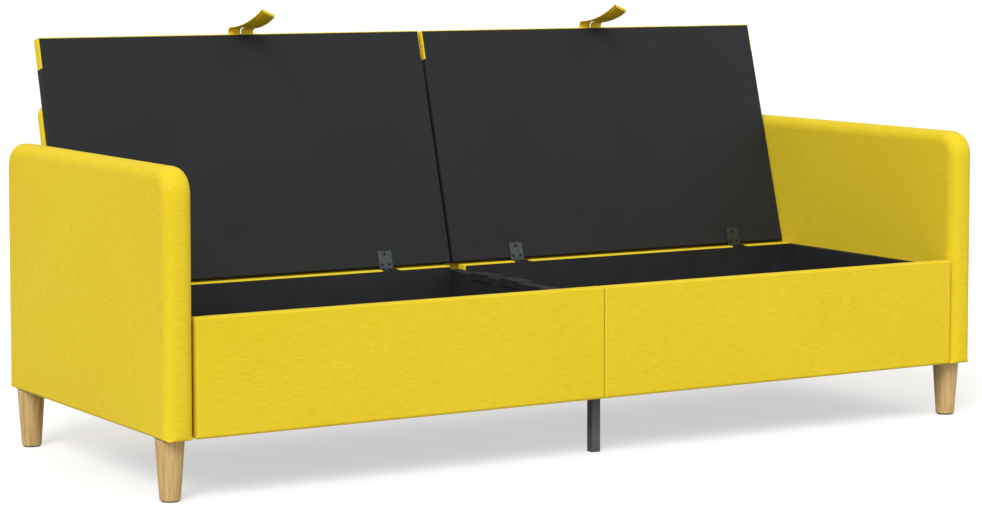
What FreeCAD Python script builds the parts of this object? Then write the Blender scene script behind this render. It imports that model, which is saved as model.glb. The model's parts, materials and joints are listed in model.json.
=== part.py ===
"""Storage sofa: an upholstered box between two slab arms, with two lift-up seat lids.

Frame: +X along the sofa (its right-hand arm in the picture), +Y towards the back, +Z up.
The origin is under the middle of the sofa, on the floor. All lengths are in millimetres.
The lids are modelled open, leaning on the backrest. A lid piece is placed in the lid's own
coordinates, whose origin is the hinge axis: x along the sofa, -y from the hinge towards the
lid's free edge, z through its thickness from the underside up. OPEN turns them to the open pose.
"""
import FreeCAD, Part
import Sketcher
import math
import os
import re

SIZES = {
    # Outline of the sofa
    "inner_length": (2000, "clear length between the arms"),
    "depth": (864, "front to back, over the arms"),
    "base_level": (132, "underside of the box and the arms"),
    "arm_top": (690, "top of the arms above the floor"),
    "arm_thickness": (64, "padded slab arm"),
    "arm_corner": (55, "round of the arm's two top corners"),
    "arm_edge": (26, "round of the arm's padded rim at its top, front and back"),
    "arm_foot": (8, "round of the arm's lower rim"),
    "arm_padding": (12, "foam and cloth over the arm's core"),
    "skin_board": (4, "hardboard on each side of the arm's frame"),
    "arm_post": (60, "front post and the cross rails of the arm's frame"),
    "rear_post": (125, "wide rear post that carries the backrest"),
    # Rails round the storage box
    "rail_top": (382, "top of the front rail"),
    "rail_thickness": (32, "padded front and back rails"),
    "rail_recess": (2, "front rail behind the arms' front"),
    "rail_end_gap": (4, "rail end to arm"),
    "rail_seam": (2, "between the two halves of the front rail"),
    "rail_padding": (8, "foam and cloth on a rail's outer face and on the front rail's top"),
    "rail_hem": (4, "cloth turned over a rail's ends and underside"),
    "rail_edge": (3.5, "round of a rail's padded edges"),
    "rail_top_padding": (5, "foam and cloth on the back rail's top"),
    "lining": (2, "black lining sheet on a rail's inner face"),
    "lining_drop": (3, "back rail's top to the top of its lining"),
    "seat_level": (369, "top of the back rail, and height of the hinge axis"),
    "hinge_rear": (198, "hinge axis to the back of the arms"),
    "hinge_setback": (1, "back rail's rear face in front of the hinge axis"),
    # Storage box
    "side_board": (18, "black board on the arm inside the box"),
    "side_top": (366, "top of the side boards"),
    "floor_board": (9, "storage floor"),
    "batten": (18, "thickness of the floor battens and of the centre bearer"),
    "batten_width": (20, "width of a floor batten"),
    "bearer_width": (110, "centre bearer under the floor"),
    "fit_gap": (0.5, "play between boards that butt"),
    "divider": (34, "thickness of the divider between the compartments"),
    "divider_offset": (-5, "middle of the divider from the middle of the sofa"),
    "divider_top": (357, "top of the divider"),
    "divider_gap": (2, "divider to the ends of the back rail"),
    "block_width": (40, "rest block across the divider"),
    "block_length": (82, "rest block along the divider"),
    "block_top": (362, "top of the rest blocks"),
    "block_height": (17, "rest block"),
    "block_spacing": (129, "between the middles of the two rest blocks"),
    "block_place": (434, "front of the arms to midway between the rest blocks"),
    # Legs
    "leg_top": (62, "diameter of a wooden leg at the arm"),
    "leg_foot": (44, "diameter of a wooden leg at the floor"),
    "leg_inset": (60, "arm's front or back to the middle of a leg"),
    "leg_edge": (2, "round of a leg's rims"),
    "glide": (3, "felt glide under a wooden leg"),
    "glide_rim": (3, "leg beyond its glide"),
    "leg_plate": (2, "steel plate over a leg"),
    "leg_plate_width": (50, "square leg plate"),
    "leg_bolt": (8, "diameter of a leg's hanger bolt"),
    "leg_bolt_reach": (30, "hanger bolt into the leg and into the frame"),
    "tube": (22, "square tube of the centre support"),
    "tube_wall": (1.5, "wall of that tube"),
    "tube_place": (23, "middle of the tube from the middle of the sofa"),
    "tube_inset": (48, "front rail's inner face to the middle of the tube"),
    "tube_plate": (60, "square plate on the centre support"),
    "tube_plate_thickness": (3, "that plate"),
    "cap": (2, "plastic foot cap under the tube"),
    "cap_plug": (12, "plug of the foot cap"),
    # Lids and hinges
    "open_angle": (105.85, "lid's turn from closed to leaning on the backrest"),
    "lid_gap": (8, "between the two lids"),
    "lid_side_gap": (3, "lid to arm"),
    "lid_setback": (4.5, "hinge axis to the lid's rear edge"),
    "lid_front_gap": (50.5, "front rail's inner face to the closed lid's free edge"),
    "lid_thickness": (29, "whole lid"),
    "lid_lift": (0.4, "closed lid above the hinge axis"),
    "lid_board": (18, "lid's board"),
    "lid_edge": (2.5, "round of the lid's edges"),
    "cloth": (1, "cloth over the lid"),
    "wrap": (72, "yellow cloth at the lid's free edge"),
    "lip": (2, "yellow cloth turned under the free edge"),
    "hinge_inner": (184, "middle of the sofa to the inner hinges"),
    "hinge_outer": (840, "middle of the sofa to the outer hinges"),
    "leaf": (2, "thickness of a hinge leaf"),
    "leaf_width": (37, "lid leaf along the axis"),
    "leaf_length": (42, "lid leaf from the axis"),
    "rail_leaf_width": (48, "rail leaf along the axis"),
    "rail_leaf_length": (29, "rail leaf from the axis"),
    "notch_width": (52, "cut in the back rail's cover for a hinge"),
    "knuckle": (3.5, "radius of a hinge knuckle"),
    "knuckle_length": (12, "middle knuckle"),
    "knuckle_gap": (0.4, "between knuckles"),
    "pin": (1.5, "radius of a hinge pin"),
    "pin_play": (0.05, "between pin and knuckle"),
    # Pull straps
    "strap_width": (32, "webbing"),
    "strap_cloth": (2, "thickness of the webbing"),
    "strap_left": (-485, "middle of the sofa to the left strap"),
    "strap_right": (502, "middle of the sofa to the right strap"),
    "strap_feet": (34, "between the middles of a strap's two feet"),
    "strap_lean": (14, "strap's fold to the right of its feet"),
    "strap_drop": (122, "strap's fold past the lid's underside"),
    "strap_bend": (12, "radius in which the outer leg turns down"),
    "strap_waist": (8, "outer leg beyond the lid's free edge, half-way to the fold"),
    "strap_reach": (20, "outer leg beyond the lid's free edge, at the fold"),
    "strap_space": (0.5, "between the strap's legs where they cross"),
    "strap_foot": (2, "middle of the webbing above the lid's underside at its feet"),
    "strap_tilt": (24.7, "turn of the fold from the lid's edge"),
    "strap_slot": (5, "space between the strap's two legs"),
    # Backrest
    "backrest_thickness": (28, "padded backrest panel"),
    "backrest_gap": (0.5, "open lid to backrest"),
    "backrest_reach": (437, "along the backrest, hinge axis to its top"),
    "backrest_drop": (60, "along the backrest, hinge axis to its foot"),
    "backrest_side_gap": (1, "backrest to arm"),
    "backrest_seam": (2, "between the two halves of the backrest"),
    "backrest_corner": (30, "round of its outer top corners"),
    "backrest_edge": (9, "round of its padded rim"),
    "backrest_padding": (5, "foam and cloth on the backrest's frame"),
    "backrest_batten": (50, "width of its frame's battens"),
    "wedge_low": (305, "underside of the wedge blocks"),
    "wedge_high": (350, "top of the wedge blocks"),
    "wedge_width": (60, "a wedge block along the sofa"),
    "wedge_inner": (120, "middle of the sofa to the inner wedge blocks"),
    "wedge_outer": (100, "arm to the middle of the outer wedge blocks"),
    # Brackets and fasteners
    "bracket": (3, "thickness of the steel angles"),
    "bracket_flange": (40, "flange of a corner angle"),
    "bracket_height": (110, "corner angle"),
    "bracket_level": (165, "underside of the corner angles"),
    "divider_flange": (30, "flange of a divider angle"),
    "screw_inset": (25, "ends of an angle to its screws"),
    "frame_screw": (6, "diameter of a frame screw"),
    "frame_screw_grip": (14, "frame screw into the wood, past its angle"),
    "arm_screw_grip": (20, "long screw into the arm's frame"),
    "screw_head": (12, "diameter of a frame screw's head"),
    "screw_head_height": (3.5, "that head"),
    "small_screw": (3.2, "diameter of a hinge screw"),
    "small_screw_grip": (12, "hinge screw past its leaf"),
    "leaf_screw_spread": (10, "middle of a lid leaf to its two lower screws"),
    "leaf_screw_low": (9.5, "hinge axis to a lid leaf's two lower screws"),
    "leaf_screw_high": (34, "hinge axis to a lid leaf's upper screw"),
    "rail_screw_spread": (16, "middle of a rail leaf to its two rear screws"),
    "rail_screw_rear": (14, "hinge axis to a rail leaf's two rear screws"),
    "rail_screw_front": (24, "hinge axis to a rail leaf's front screw"),
    "small_head": (6.4, "diameter of a hinge screw's head"),
    "small_head_height": (0.8, "that head"),
    "plate_screw": (4, "diameter of a support plate's screw"),
    "plate_screw_grip": (12, "support plate's screw into the bearer"),
    "plate_head": (8, "diameter of that screw's head"),
    "plate_head_height": (2.5, "that head"),
    "plate_screw_spacing": (44, "between the screws of a support plate"),
    "backrest_bolt": (8, "diameter of a backrest bolt"),
    "backrest_bolt_grip": (40, "backrest bolt into the backrest's frame"),
    "backrest_bolt_head": (18, "diameter of its head"),
    "backrest_bolt_head_height": (4, "that head"),
    "backrest_bolt_low": (150, "along the backrest to the lower bolts"),
    "backrest_bolt_high": (300, "along the backrest to the upper bolts"),
    "play": (0.2, "round a screw or a bolt in its hole"),
}

doc = FreeCAD.newDocument("storage_sofa")
sheet = doc.addObject("Spreadsheet::Sheet", "sizes")
for row, (alias, (value, note)) in enumerate(SIZES.items(), start=1):
    sheet.set(f"A{row}", alias)
    sheet.set(f"B{row}", str(value))
    sheet.set(f"C{row}", note)
    sheet.setAlias(f"B{row}", alias)
doc.recompute()

# Places that several sub-parts share, as expressions over the sheet
FRONT = "(-depth / 2)"
ARM = "(inner_length / 2)"
RAIL_FRONT = f"({FRONT} + rail_recess)"
BOX_FRONT = f"({RAIL_FRONT} + rail_thickness)"
HINGE_Y = "(depth / 2 - hinge_rear)"
BACK_RAIL_REAR = f"({HINGE_Y} - hinge_setback)"
BOX_BACK = f"({BACK_RAIL_REAR} - rail_thickness)"
FLOOR_LOW = "(base_level + batten)"
FLOOR_TOP = f"({FLOOR_LOW} + floor_board)"
DIVIDER_LEFT = "(divider_offset - divider / 2)"
DIVIDER_RIGHT = "(divider_offset + divider / 2)"
SIDE_INNER = f"({ARM} - side_board)"
NOTCH_LOW = "(seat_level - rail_top_padding)"
LID_END = f"({HINGE_Y} - {BOX_FRONT} - lid_front_gap)"
LID_LENGTH = f"({LID_END} - lid_setback)"
BACKREST_FACE = "(lid_lift + lid_thickness + backrest_gap)"
LID_WIDTH = f"({ARM} - lid_gap / 2 - lid_side_gap)"
HERE = "placement(vector(0; 0; 0); rotation(vector(0; 0; 1); 0))"
OPEN = f"placement(vector(0; {HINGE_Y}; seat_level); rotation(vector(1; 0; 0); -open_angle))"

# Turn that points a piece's own +Z along the named direction
TURNS = {
    "+x": "rotation(vector(0; 1; 0); 90)",
    "-x": "rotation(vector(0; 1; 0); -90)",
    "+y": "rotation(vector(1; 0; 0); -90)",
    "-y": "rotation(vector(1; 0; 0); 90)",
    "+z": "rotation(vector(0; 0; 1); 0)",
    "-z": "rotation(vector(1; 0; 0); 180)",
}
SIDES = {"left": -1, "right": 1}

nodes = []


def bound(text):
    """Return an expression with the sheet's name put before each alias in it."""
    def name(match):
        return "sizes." + match.group() if match.group() in SIZES else match.group()
    return re.sub(r"[a-z_]+", name, str(text))


def place(thing, x, y, z, pose=HERE, towards="+z"):
    """Bind an object's Placement to a point and a direction in the pose's coordinates."""
    local = f"placement(vector({x}; {y}; {z}); {TURNS[towards]})"
    thing.setExpression("Placement", bound(f"{pose} * {local}"))
    return thing


def node(thing, label):
    """Name an object and list it as a sub-part to be written."""
    thing.Label = label
    nodes.append(thing)
    return thing


def board(label, x, y, z, length, width, height, pose=HERE):
    """Return a plain cuboid whose low corner is (x, y, z)."""
    thing = doc.addObject("Part::Box", label)
    for name, size in zip(("Length", "Width", "Height"), (length, width, height)):
        thing.setExpression(name, bound(size))
    return place(thing, x, y, z, pose)


def together(label, pieces):
    """Return several separate pieces as one object."""
    thing = doc.addObject("Part::Compound", label)
    thing.Links = pieces
    return thing


def without(label, base, tool):
    """Return the base with the tool's space taken out of it."""
    thing = doc.addObject("Part::Cut", label)
    thing.Base = base
    thing.Tool = tool
    return thing


class Block:
    """A body made of boxes, cylinders and cones that are added, cut and rounded in turn."""

    def __init__(self, label, pose=HERE):
        self.body = doc.addObject("PartDesign::Body", label)
        self.body.setExpression("Placement", bound(pose))
        self.last = None

    def _feature(self, kind, sizes, x, y, z, towards):
        self.last = self.body.newObject("PartDesign::" + kind, kind)
        for name, size in sizes.items():
            self.last.setExpression(name, bound(size))
        place(self.last, x, y, z, HERE, towards)
        return self

    def box(self, x, y, z, length, width, height, kind="Additive"):
        """Add a box whose low corner is (x, y, z)."""
        sizes = {"Length": length, "Width": width, "Height": height}
        return self._feature(kind + "Box", sizes, x, y, z, "+z")

    def hollow(self, x, y, z, length, width, height):
        """Cut a box whose low corner is (x, y, z)."""
        return self.box(x, y, z, length, width, height, "Subtractive")

    def cylinder(self, x, y, z, radius, height, towards="+z", kind="Additive"):
        """Add a cylinder that starts at (x, y, z)."""
        return self._feature(kind + "Cylinder", {"Radius": radius, "Height": height}, x, y, z, towards)

    def bore(self, x, y, z, radius, height, towards="+z"):
        """Cut a cylinder that starts at (x, y, z)."""
        return self.cylinder(x, y, z, radius, height, towards, "Subtractive")

    def cone(self, x, y, z, low_radius, high_radius, height):
        """Add an upright cone that starts at (x, y, z)."""
        sizes = {"Radius1": low_radius, "Radius2": high_radius, "Height": height}
        return self._feature("AdditiveCone", sizes, x, y, z, "+z")

    def round(self, radius, chosen):
        """Round the edges that chosen(edge, box) picks, where box is the body's bounding box."""
        doc.recompute()
        shape = self.last.Shape
        names = [f"Edge{i}" for i, edge in enumerate(shape.Edges, start=1)
                 if chosen(edge, shape.BoundBox)]
        fillet = self.body.newObject("PartDesign::Fillet", "Fillet")
        fillet.Base = (self.last, names)
        fillet.setExpression("Radius", bound(radius))
        self.last = fillet
        return self


NEAR = 0.01


def along(edge, axis):
    """Say whether an edge is straight and parallel to an axis, 0 for x to 2 for z."""
    if not isinstance(edge.Curve, Part.Line):
        return False
    return abs(edge.Curve.Direction[axis]) > 1 - NEAR


def top_corner(edge, box):
    """Pick the edges along x at the top."""
    return along(edge, 0) and abs(edge.CenterOfMass.z - box.ZMax) < NEAR


def foot_rim(edge, box):
    """Pick the edges that lie in the lower face."""
    return edge.BoundBox.ZMax - box.ZMin < NEAR


def side_rim(edge, box):
    """Pick the edges that lie in either end face across x, apart from the lower ones."""
    low, high = edge.BoundBox.XMin, edge.BoundBox.XMax
    in_end_face = high - low < NEAR and (abs(low - box.XMin) < NEAR or abs(high - box.XMax) < NEAR)
    return in_end_face and not foot_rim(edge, box)


def face_rim(edge, box):
    """Pick the edges that lie in the lower or the upper face across z."""
    low, high = edge.BoundBox.ZMin, edge.BoundBox.ZMax
    return high - low < NEAR and (abs(low - box.ZMin) < NEAR or abs(high - box.ZMax) < NEAR)


def upright(edge, box):
    """Pick the edges along z."""
    return along(edge, 2)


def any_edge(edge, box):
    """Pick every edge."""
    return True


def profile(label, plane, points, start, length):
    """Return a body padded from a polygon, whose corners are bound to the sheet.

    The polygon lies in the XY or the YZ plane. It starts at that height across the plane, and
    is padded by the length towards +Z or +X.
    """
    body = doc.addObject("PartDesign::Body", label)
    sketch = body.newObject("Sketcher::SketchObject", label + "_outline")
    origin = [item for item in body.Origin.OriginFeatures if item.Role == plane + "_Plane"][0]
    sketch.AttachmentSupport = (origin, "")
    sketch.MapMode = "FlatFace"
    corners = [FreeCAD.Vector(10 * math.cos(turn), 10 * math.sin(turn), 0)
               for turn in (2 * math.pi * i / len(points) for i in range(len(points)))]
    for i, corner in enumerate(corners):
        sketch.addGeometry(Part.LineSegment(corner, corners[(i + 1) % len(points)]), False)
    for i in range(len(points)):
        sketch.addConstraint(Sketcher.Constraint("Coincident", i, 2, (i + 1) % len(points), 1))
    for i, (across, up) in enumerate(points):
        for kind, size, now in (("DistanceX", across, corners[i].x), ("DistanceY", up, corners[i].y)):
            number = sketch.addConstraint(Sketcher.Constraint(kind, -1, 1, i, 1, now))
            sketch.setExpression(f"Constraints[{number}]", bound(size))
    pad = body.newObject("PartDesign::Pad", label + "_pad")
    pad.Profile = sketch
    pad.setExpression("Length", bound(length))
    shift = {"XY": f"vector(0; 0; {start})", "YZ": f"vector({start}; 0; 0)"}[plane]
    body.setExpression("Placement", bound(f"placement({shift}; rotation(vector(0; 0; 1); 0))"))
    return body


def fastener(label, diameter, length, head_diameter, head_height):
    """Return a headed screw at the origin, whose shank points along +Z."""
    screw = Block(label)
    screw.cylinder(0, 0, 0, f"{diameter} / 2", length)
    screw.cylinder(0, 0, f"-({head_height})", f"{head_diameter} / 2", head_height)
    return screw.body


def copies(label, master, spots, pose=HERE):
    """Return copies of a piece, each at (x, y, z, direction), as one object."""
    links = []
    for number, (x, y, z, towards) in enumerate(spots, start=1):
        link = doc.addObject("App::Link", f"{label}_{number}")
        link.setLink(master)
        links.append(place(link, x, y, z, pose, towards))
    return together(label, links)


def span(side, inner, outer):
    """Return the low x of a piece between two distances from the middle, on one side."""
    return f"-({outer})" if side == "left" else inner


def screw_and_hole(label, diameter, length, head_diameter, head_height):
    """Return a screw and the same shape with play round it."""
    screw = fastener(label, diameter, length, head_diameter, head_height)
    hole = fastener(label + "_hole", f"{diameter} + 2 * play", length,
                    f"{head_diameter} + 2 * play", head_height)
    return screw, hole


# Lengths and places of the fasteners
FRAME_SCREW_LENGTH = "(bracket + frame_screw_grip)"
ARM_SCREW_LENGTH = "(bracket + side_board + arm_padding + skin_board + arm_screw_grip)"
BACKREST_BOLT_X = f"({ARM} + arm_thickness - arm_padding - skin_board - backrest_bolt_head_height)"
BACKREST_BOLT_LENGTH = (f"({BACKREST_BOLT_X} - {ARM} + backrest_side_gap + backrest_padding"
                        " + backrest_bolt_grip)")
CORNER_SCREW = "((bracket_flange + bracket) / 2)"
DIVIDER_SCREW = "((divider_flange + bracket) / 2)"
SCREW_LEVELS = ("bracket_level + screw_inset", "bracket_level + bracket_height - screw_inset")
HINGES = {"left": ("-hinge_outer", "-hinge_inner"), "right": ("hinge_inner", "hinge_outer")}
CLOSED = f"placement(vector(0; {HINGE_Y}; seat_level); rotation(vector(1; 0; 0); 0))"

frame_screw, frame_hole = screw_and_hole(
    "frame_screw_master", "frame_screw", FRAME_SCREW_LENGTH, "screw_head", "screw_head_height")
arm_screw, arm_hole = screw_and_hole(
    "arm_screw_master", "frame_screw", ARM_SCREW_LENGTH, "screw_head", "screw_head_height")
small_screw, small_hole = screw_and_hole(
    "small_screw_master", "small_screw", "(leaf + small_screw_grip)", "small_head", "small_head_height")
plate_screw, plate_hole = screw_and_hole(
    "plate_screw_master", "plate_screw", "(tube_plate_thickness + plate_screw_grip)",
    "plate_head", "plate_head_height")
backrest_bolt, backrest_hole = screw_and_hole(
    "backrest_bolt_master", "backrest_bolt", BACKREST_BOLT_LENGTH,
    "backrest_bolt_head", "backrest_bolt_head_height")

# Where the screws go
frame_spots = []
arm_spots = []
for level in SCREW_LEVELS:
    for face, inward, into in ((BOX_FRONT, "+", "-y"), (BOX_BACK, "-", "+y")):
        head = f"{face} {inward} bracket"
        for sign, outward in (("-", "-x"), ("", "+x")):
            frame_spots.append((f"{sign}({SIDE_INNER} - {CORNER_SCREW})", head, level, into))
            arm_spots.append((f"{sign}({SIDE_INNER} - bracket)", f"{face} {inward} {CORNER_SCREW}",
                              level, outward))
        for cheek, away, into_divider in ((DIVIDER_LEFT, "-", "+x"), (DIVIDER_RIGHT, "+", "-x")):
            frame_spots.append((f"{cheek} {away} {DIVIDER_SCREW}", head, level, into))
            frame_spots.append((f"{cheek} {away} bracket", f"{face} {inward} {DIVIDER_SCREW}",
                                level, into_divider))
backrest_spots = [
    (f"{sign}{BACKREST_BOLT_X}", f"-({reach})", f"{BACKREST_FACE} + backrest_thickness / 2", inward)
    for sign, inward in (("-", "+x"), ("", "-x")) for reach in ("backrest_bolt_low", "backrest_bolt_high")]

frame_holes = copies("frame_holes", frame_hole, frame_spots)
arm_holes = copies("arm_holes", arm_hole, arm_spots)
backrest_holes = copies("backrest_holes", backrest_hole, backrest_spots, OPEN)
node(copies("frame_screws", frame_screw, frame_spots), "frame_screws")
node(copies("arm_screws", arm_screw, arm_spots), "arm_screws")
node(copies("backrest_bolts", backrest_bolt, backrest_spots, OPEN), "backrest_bolts")

# Wooden legs, with the plate, the hanger bolt and the glide of each
LEG_X = f"({ARM} + arm_thickness / 2)"
LEG_Y = "(depth / 2 - leg_inset)"
LEG_TOP = "(base_level - leg_plate)"
LEG_PLACES = {"front_left": ("-", "-"), "front_right": ("", "-"),
              "rear_left": ("-", ""), "rear_right": ("", "")}
leg_spots = []
for place_name, (across, back) in LEG_PLACES.items():
    x, y = f"{across}{LEG_X}", f"{back}{LEG_Y}"
    leg_spots.append((x, y))
    leg = Block(place_name + "_leg")
    leg.cone(x, y, "glide", "leg_foot / 2", "leg_top / 2", f"{LEG_TOP} - glide")
    leg.round("leg_edge", face_rim)
    leg.bore(x, y, f"{LEG_TOP} - leg_bolt_reach", "leg_bolt / 2 + play", "leg_bolt_reach")
    node(leg.body, place_name + "_leg")

LEG_BOLT_LENGTH = "2 * leg_bolt_reach + leg_plate"
leg_bolt = Block("leg_bolt_master").cylinder(0, 0, 0, "leg_bolt / 2", LEG_BOLT_LENGTH).body
bolt_space = Block("leg_bolt_hole").cylinder(0, 0, 0, "leg_bolt / 2 + play", LEG_BOLT_LENGTH).body
bolt_spots = [(x, y, f"{LEG_TOP} - leg_bolt_reach", "+z") for x, y in leg_spots]
node(copies("leg_bolts", leg_bolt, bolt_spots), "leg_bolts")
leg_bolt_holes = copies("leg_bolt_holes", bolt_space, bolt_spots)

plate = Block("leg_plate_master")
plate.box("-leg_plate_width / 2", "-leg_plate_width / 2", 0,
          "leg_plate_width", "leg_plate_width", "leg_plate")
plate.bore(0, 0, 0, "leg_bolt / 2 + play", "leg_plate")
node(copies("leg_plates", plate.body, [(x, y, LEG_TOP, "+z") for x, y in leg_spots]), "leg_plates")

felt = Block("glide_master").cylinder(0, 0, 0, "leg_foot / 2 - glide_rim", "glide").body
node(copies("leg_glides", felt, [(x, y, 0, "+z") for x, y in leg_spots]), "leg_glides")

# Arms: a batten frame between two skin boards, in a padded cover that is open underneath
CORE_HEIGHT = "(arm_top - base_level - arm_padding)"
CORE_DEPTH = "(depth - 2 * arm_padding)"
CORE_FRONT = f"({FRONT} + arm_padding)"
MIDDLE_POST = f"({BOX_BACK} - {CORNER_SCREW})"
arm_fixings = together("arm_fixings", [arm_holes, backrest_holes, leg_bolt_holes])


def arm_slab(label, side, inner, thickness):
    """Return a slab of the arm's core, with its two rounded top corners."""
    slab = Block(label)
    slab.box(span(side, inner, f"{inner} + {thickness}"), CORE_FRONT, "base_level",
             thickness, CORE_DEPTH, CORE_HEIGHT)
    return slab.round("arm_corner - arm_padding", top_corner)


skins = []
for side in SIDES:
    shell = Block(side + "_arm_outside")
    shell.box(span(side, ARM, f"{ARM} + arm_thickness"), FRONT, "base_level",
              "arm_thickness", "depth", "arm_top - base_level")
    shell.round("arm_corner", top_corner).round("arm_edge", side_rim).round("arm_foot", foot_rim)
    core = arm_slab(side + "_arm_core", side, f"{ARM} + arm_padding", "(arm_thickness - 2 * arm_padding)")
    cover = without(side + "_arm_shell", shell.body, core.body)
    fixed = together(side + "_arm_cover_fixings", [arm_holes, backrest_holes])
    node(without(side + "_arm_cover", cover, fixed), side + "_arm_cover")

    batten_depth = "(arm_thickness - 2 * arm_padding - 2 * skin_board)"
    frame_inner = f"({ARM} + arm_padding + skin_board)"
    frame = arm_slab(side + "_arm_battens", side, frame_inner, batten_depth)
    frame_low = span(side, frame_inner, f"{frame_inner} + {batten_depth}")
    bays = ((f"{CORE_FRONT} + arm_post", f"{MIDDLE_POST} - arm_post / 2"),
            (f"{MIDDLE_POST} + arm_post / 2", "depth / 2 - arm_padding - rear_post"))
    window_height = f"(({CORE_HEIGHT} - 3 * arm_post) / 2)"
    for bay_front, bay_back in bays:
        for floor in ("base_level + arm_post", f"base_level + 2 * arm_post + {window_height}"):
            frame.hollow(frame_low, bay_front, floor,
                         batten_depth, f"{bay_back} - ({bay_front})", window_height)
    node(without(side + "_arm_frame", frame.body, arm_fixings), side + "_arm_frame")

    outer = f"{ARM} + arm_thickness - arm_padding - skin_board"
    for name, inner in (("inner", f"{ARM} + arm_padding"), ("outer", outer)):
        skins.append(arm_slab(f"{side}_{name}_skin", side, inner, "skin_board").body)
skin_fixings = together("arm_board_fixings", [arm_holes, backrest_holes])
node(without("arm_boards", together("arm_skins", skins), skin_fixings), "arm_boards")

# Front rail: two halves, each a board in a padded cover that is open towards the box
FRONT_RAIL_LENGTH = f"({ARM} - rail_end_gap - rail_seam / 2)"
FRONT_RAIL_HEIGHT = "(rail_top - base_level - rail_padding - rail_hem)"
boards = []
linings = []
for side in SIDES:
    low = span(side, "rail_seam / 2", f"{ARM} - rail_end_gap")
    inner_low, inner_length = f"{low} + rail_hem", f"({FRONT_RAIL_LENGTH} - 2 * rail_hem)"
    cover = Block(f"front_rail_{side}_cover")
    cover.box(low, RAIL_FRONT, "base_level", FRONT_RAIL_LENGTH, "rail_thickness", "rail_top - base_level")
    cover.round("rail_edge", any_edge)
    cover.hollow(inner_low, f"{RAIL_FRONT} + rail_padding", "base_level + rail_hem",
                 inner_length, "rail_thickness - rail_padding", FRONT_RAIL_HEIGHT)
    node(cover.body, f"front_rail_{side}_cover")
    boards.append(board(f"front_rail_{side}_board", inner_low, f"{RAIL_FRONT} + rail_padding",
                        "base_level + rail_hem",
                        inner_length, "rail_thickness - rail_padding - lining", FRONT_RAIL_HEIGHT))
    linings.append(board(f"front_rail_{side}_lining", inner_low, f"{BOX_FRONT} - lining",
                         "base_level + rail_hem", inner_length, "lining", FRONT_RAIL_HEIGHT))
node(without("front_rail_boards", together("front_boards", boards), frame_holes), "front_rail_boards")
node(without("front_rail_linings", together("front_linings", linings), frame_holes), "front_rail_linings")

# Back rail: two halves that end at the divider, notched for the hinges
BACK_RAIL_HEIGHT = "(seat_level - base_level - rail_top_padding - rail_hem)"
BACK_RAIL_ENDS = {"left": f"-({DIVIDER_LEFT} - divider_gap)", "right": f"({DIVIDER_RIGHT} + divider_gap)"}
hinge_screw_spots = [
    (f"{across} {shift}", f"-{back}", "leaf - rail_top_padding", "-z")
    for side in SIDES for across in HINGES[side]
    for shift, back in (("- rail_screw_spread", "rail_screw_rear"),
                        ("+ rail_screw_spread", "rail_screw_rear"), ("", "rail_screw_front"))]
rail_leaf_holes = copies("rail_leaf_holes", small_hole, hinge_screw_spots, CLOSED)
back_fixings = together("back_rail_fixings", [frame_holes, rail_leaf_holes])
LINING_END = f"({ARM} - rail_end_gap - rail_hem)"
LINING_STARTS = {"left": BACK_RAIL_ENDS["left"], "right": f"({BACK_RAIL_ENDS['right']} + rail_hem)"}
LINING_HEIGHT = "(seat_level - lining_drop - base_level - rail_hem)"
back_linings = []
for side in SIDES:
    end = BACK_RAIL_ENDS[side]
    length = f"({ARM} - rail_end_gap - {end})"
    low = span(side, end, f"{ARM} - rail_end_gap")
    cover = Block(f"back_rail_{side}_cover")
    cover.box(low, BOX_BACK, "base_level", length, "rail_thickness", "seat_level - base_level")
    cover.round("rail_edge", any_edge)
    cover.hollow(f"{low} + rail_hem", BOX_BACK, "base_level + rail_hem",
                 f"{length} - 2 * rail_hem", "rail_thickness - rail_padding", BACK_RAIL_HEIGHT)
    start = LINING_STARTS[side]
    lining_size = (span(side, start, LINING_END), BOX_BACK, "base_level + rail_hem",
                   f"{LINING_END} - {start}", "lining", LINING_HEIGHT)
    cover.hollow(*lining_size)
    for across in HINGES[side]:
        cover.hollow(f"{across} - notch_width / 2", BOX_BACK, NOTCH_LOW,
                     "notch_width", "rail_thickness", "rail_top_padding")
    node(cover.body, f"back_rail_{side}_cover")
    plain = board(f"back_rail_{side}_plank", f"{low} + rail_hem", f"{BOX_BACK} + lining",
                  "base_level + rail_hem",
                  f"{length} - 2 * rail_hem", "rail_thickness - rail_padding - lining", BACK_RAIL_HEIGHT)
    node(without(f"back_rail_{side}_board", plain, back_fixings), f"back_rail_{side}_board")
    back_linings.append(board(f"back_rail_{side}_lining", *lining_size))
rear_linings = together("rear_linings", back_linings)
node(without("back_rail_linings", rear_linings, frame_holes), "back_rail_linings")

# Storage box: floor on battens and a bearer, side boards, divider and its rest blocks
BOX_LENGTH = f"({BOX_BACK} - {BOX_FRONT})"
bearer = board("bearer", "-bearer_width / 2", BOX_FRONT, "base_level", "bearer_width", BOX_LENGTH, "batten")
floors = []
battens = []
side_boards = []
for side in SIDES:
    floors.append(board(f"{side}_floor", span(side, "fit_gap / 2", f"{SIDE_INNER} - fit_gap"),
                        BOX_FRONT, FLOOR_LOW,
                        f"{SIDE_INNER} - 3 / 2 * fit_gap", BOX_LENGTH, "floor_board"))
    batten_inner = "(bearer_width / 2 + fit_gap)"
    for name, y in (("front", BOX_FRONT), ("rear", f"{BOX_BACK} - batten_width")):
        battens.append(board(f"{side}_{name}_batten",
                             span(side, batten_inner, f"{SIDE_INNER} - fit_gap"), y, "base_level",
                             f"{SIDE_INNER} - fit_gap - {batten_inner}", "batten_width", "batten"))
    side_boards.append(board(f"{side}_side_board", span(side, SIDE_INNER, ARM), BOX_FRONT, "base_level",
                             "side_board", BOX_LENGTH, "side_top - base_level"))
node(together("floor_panels", floors), "floor_panels")
node(together("floor_battens", battens), "floor_battens")
node(without("side_boards", together("box_sides", side_boards), arm_holes), "side_boards")

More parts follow.
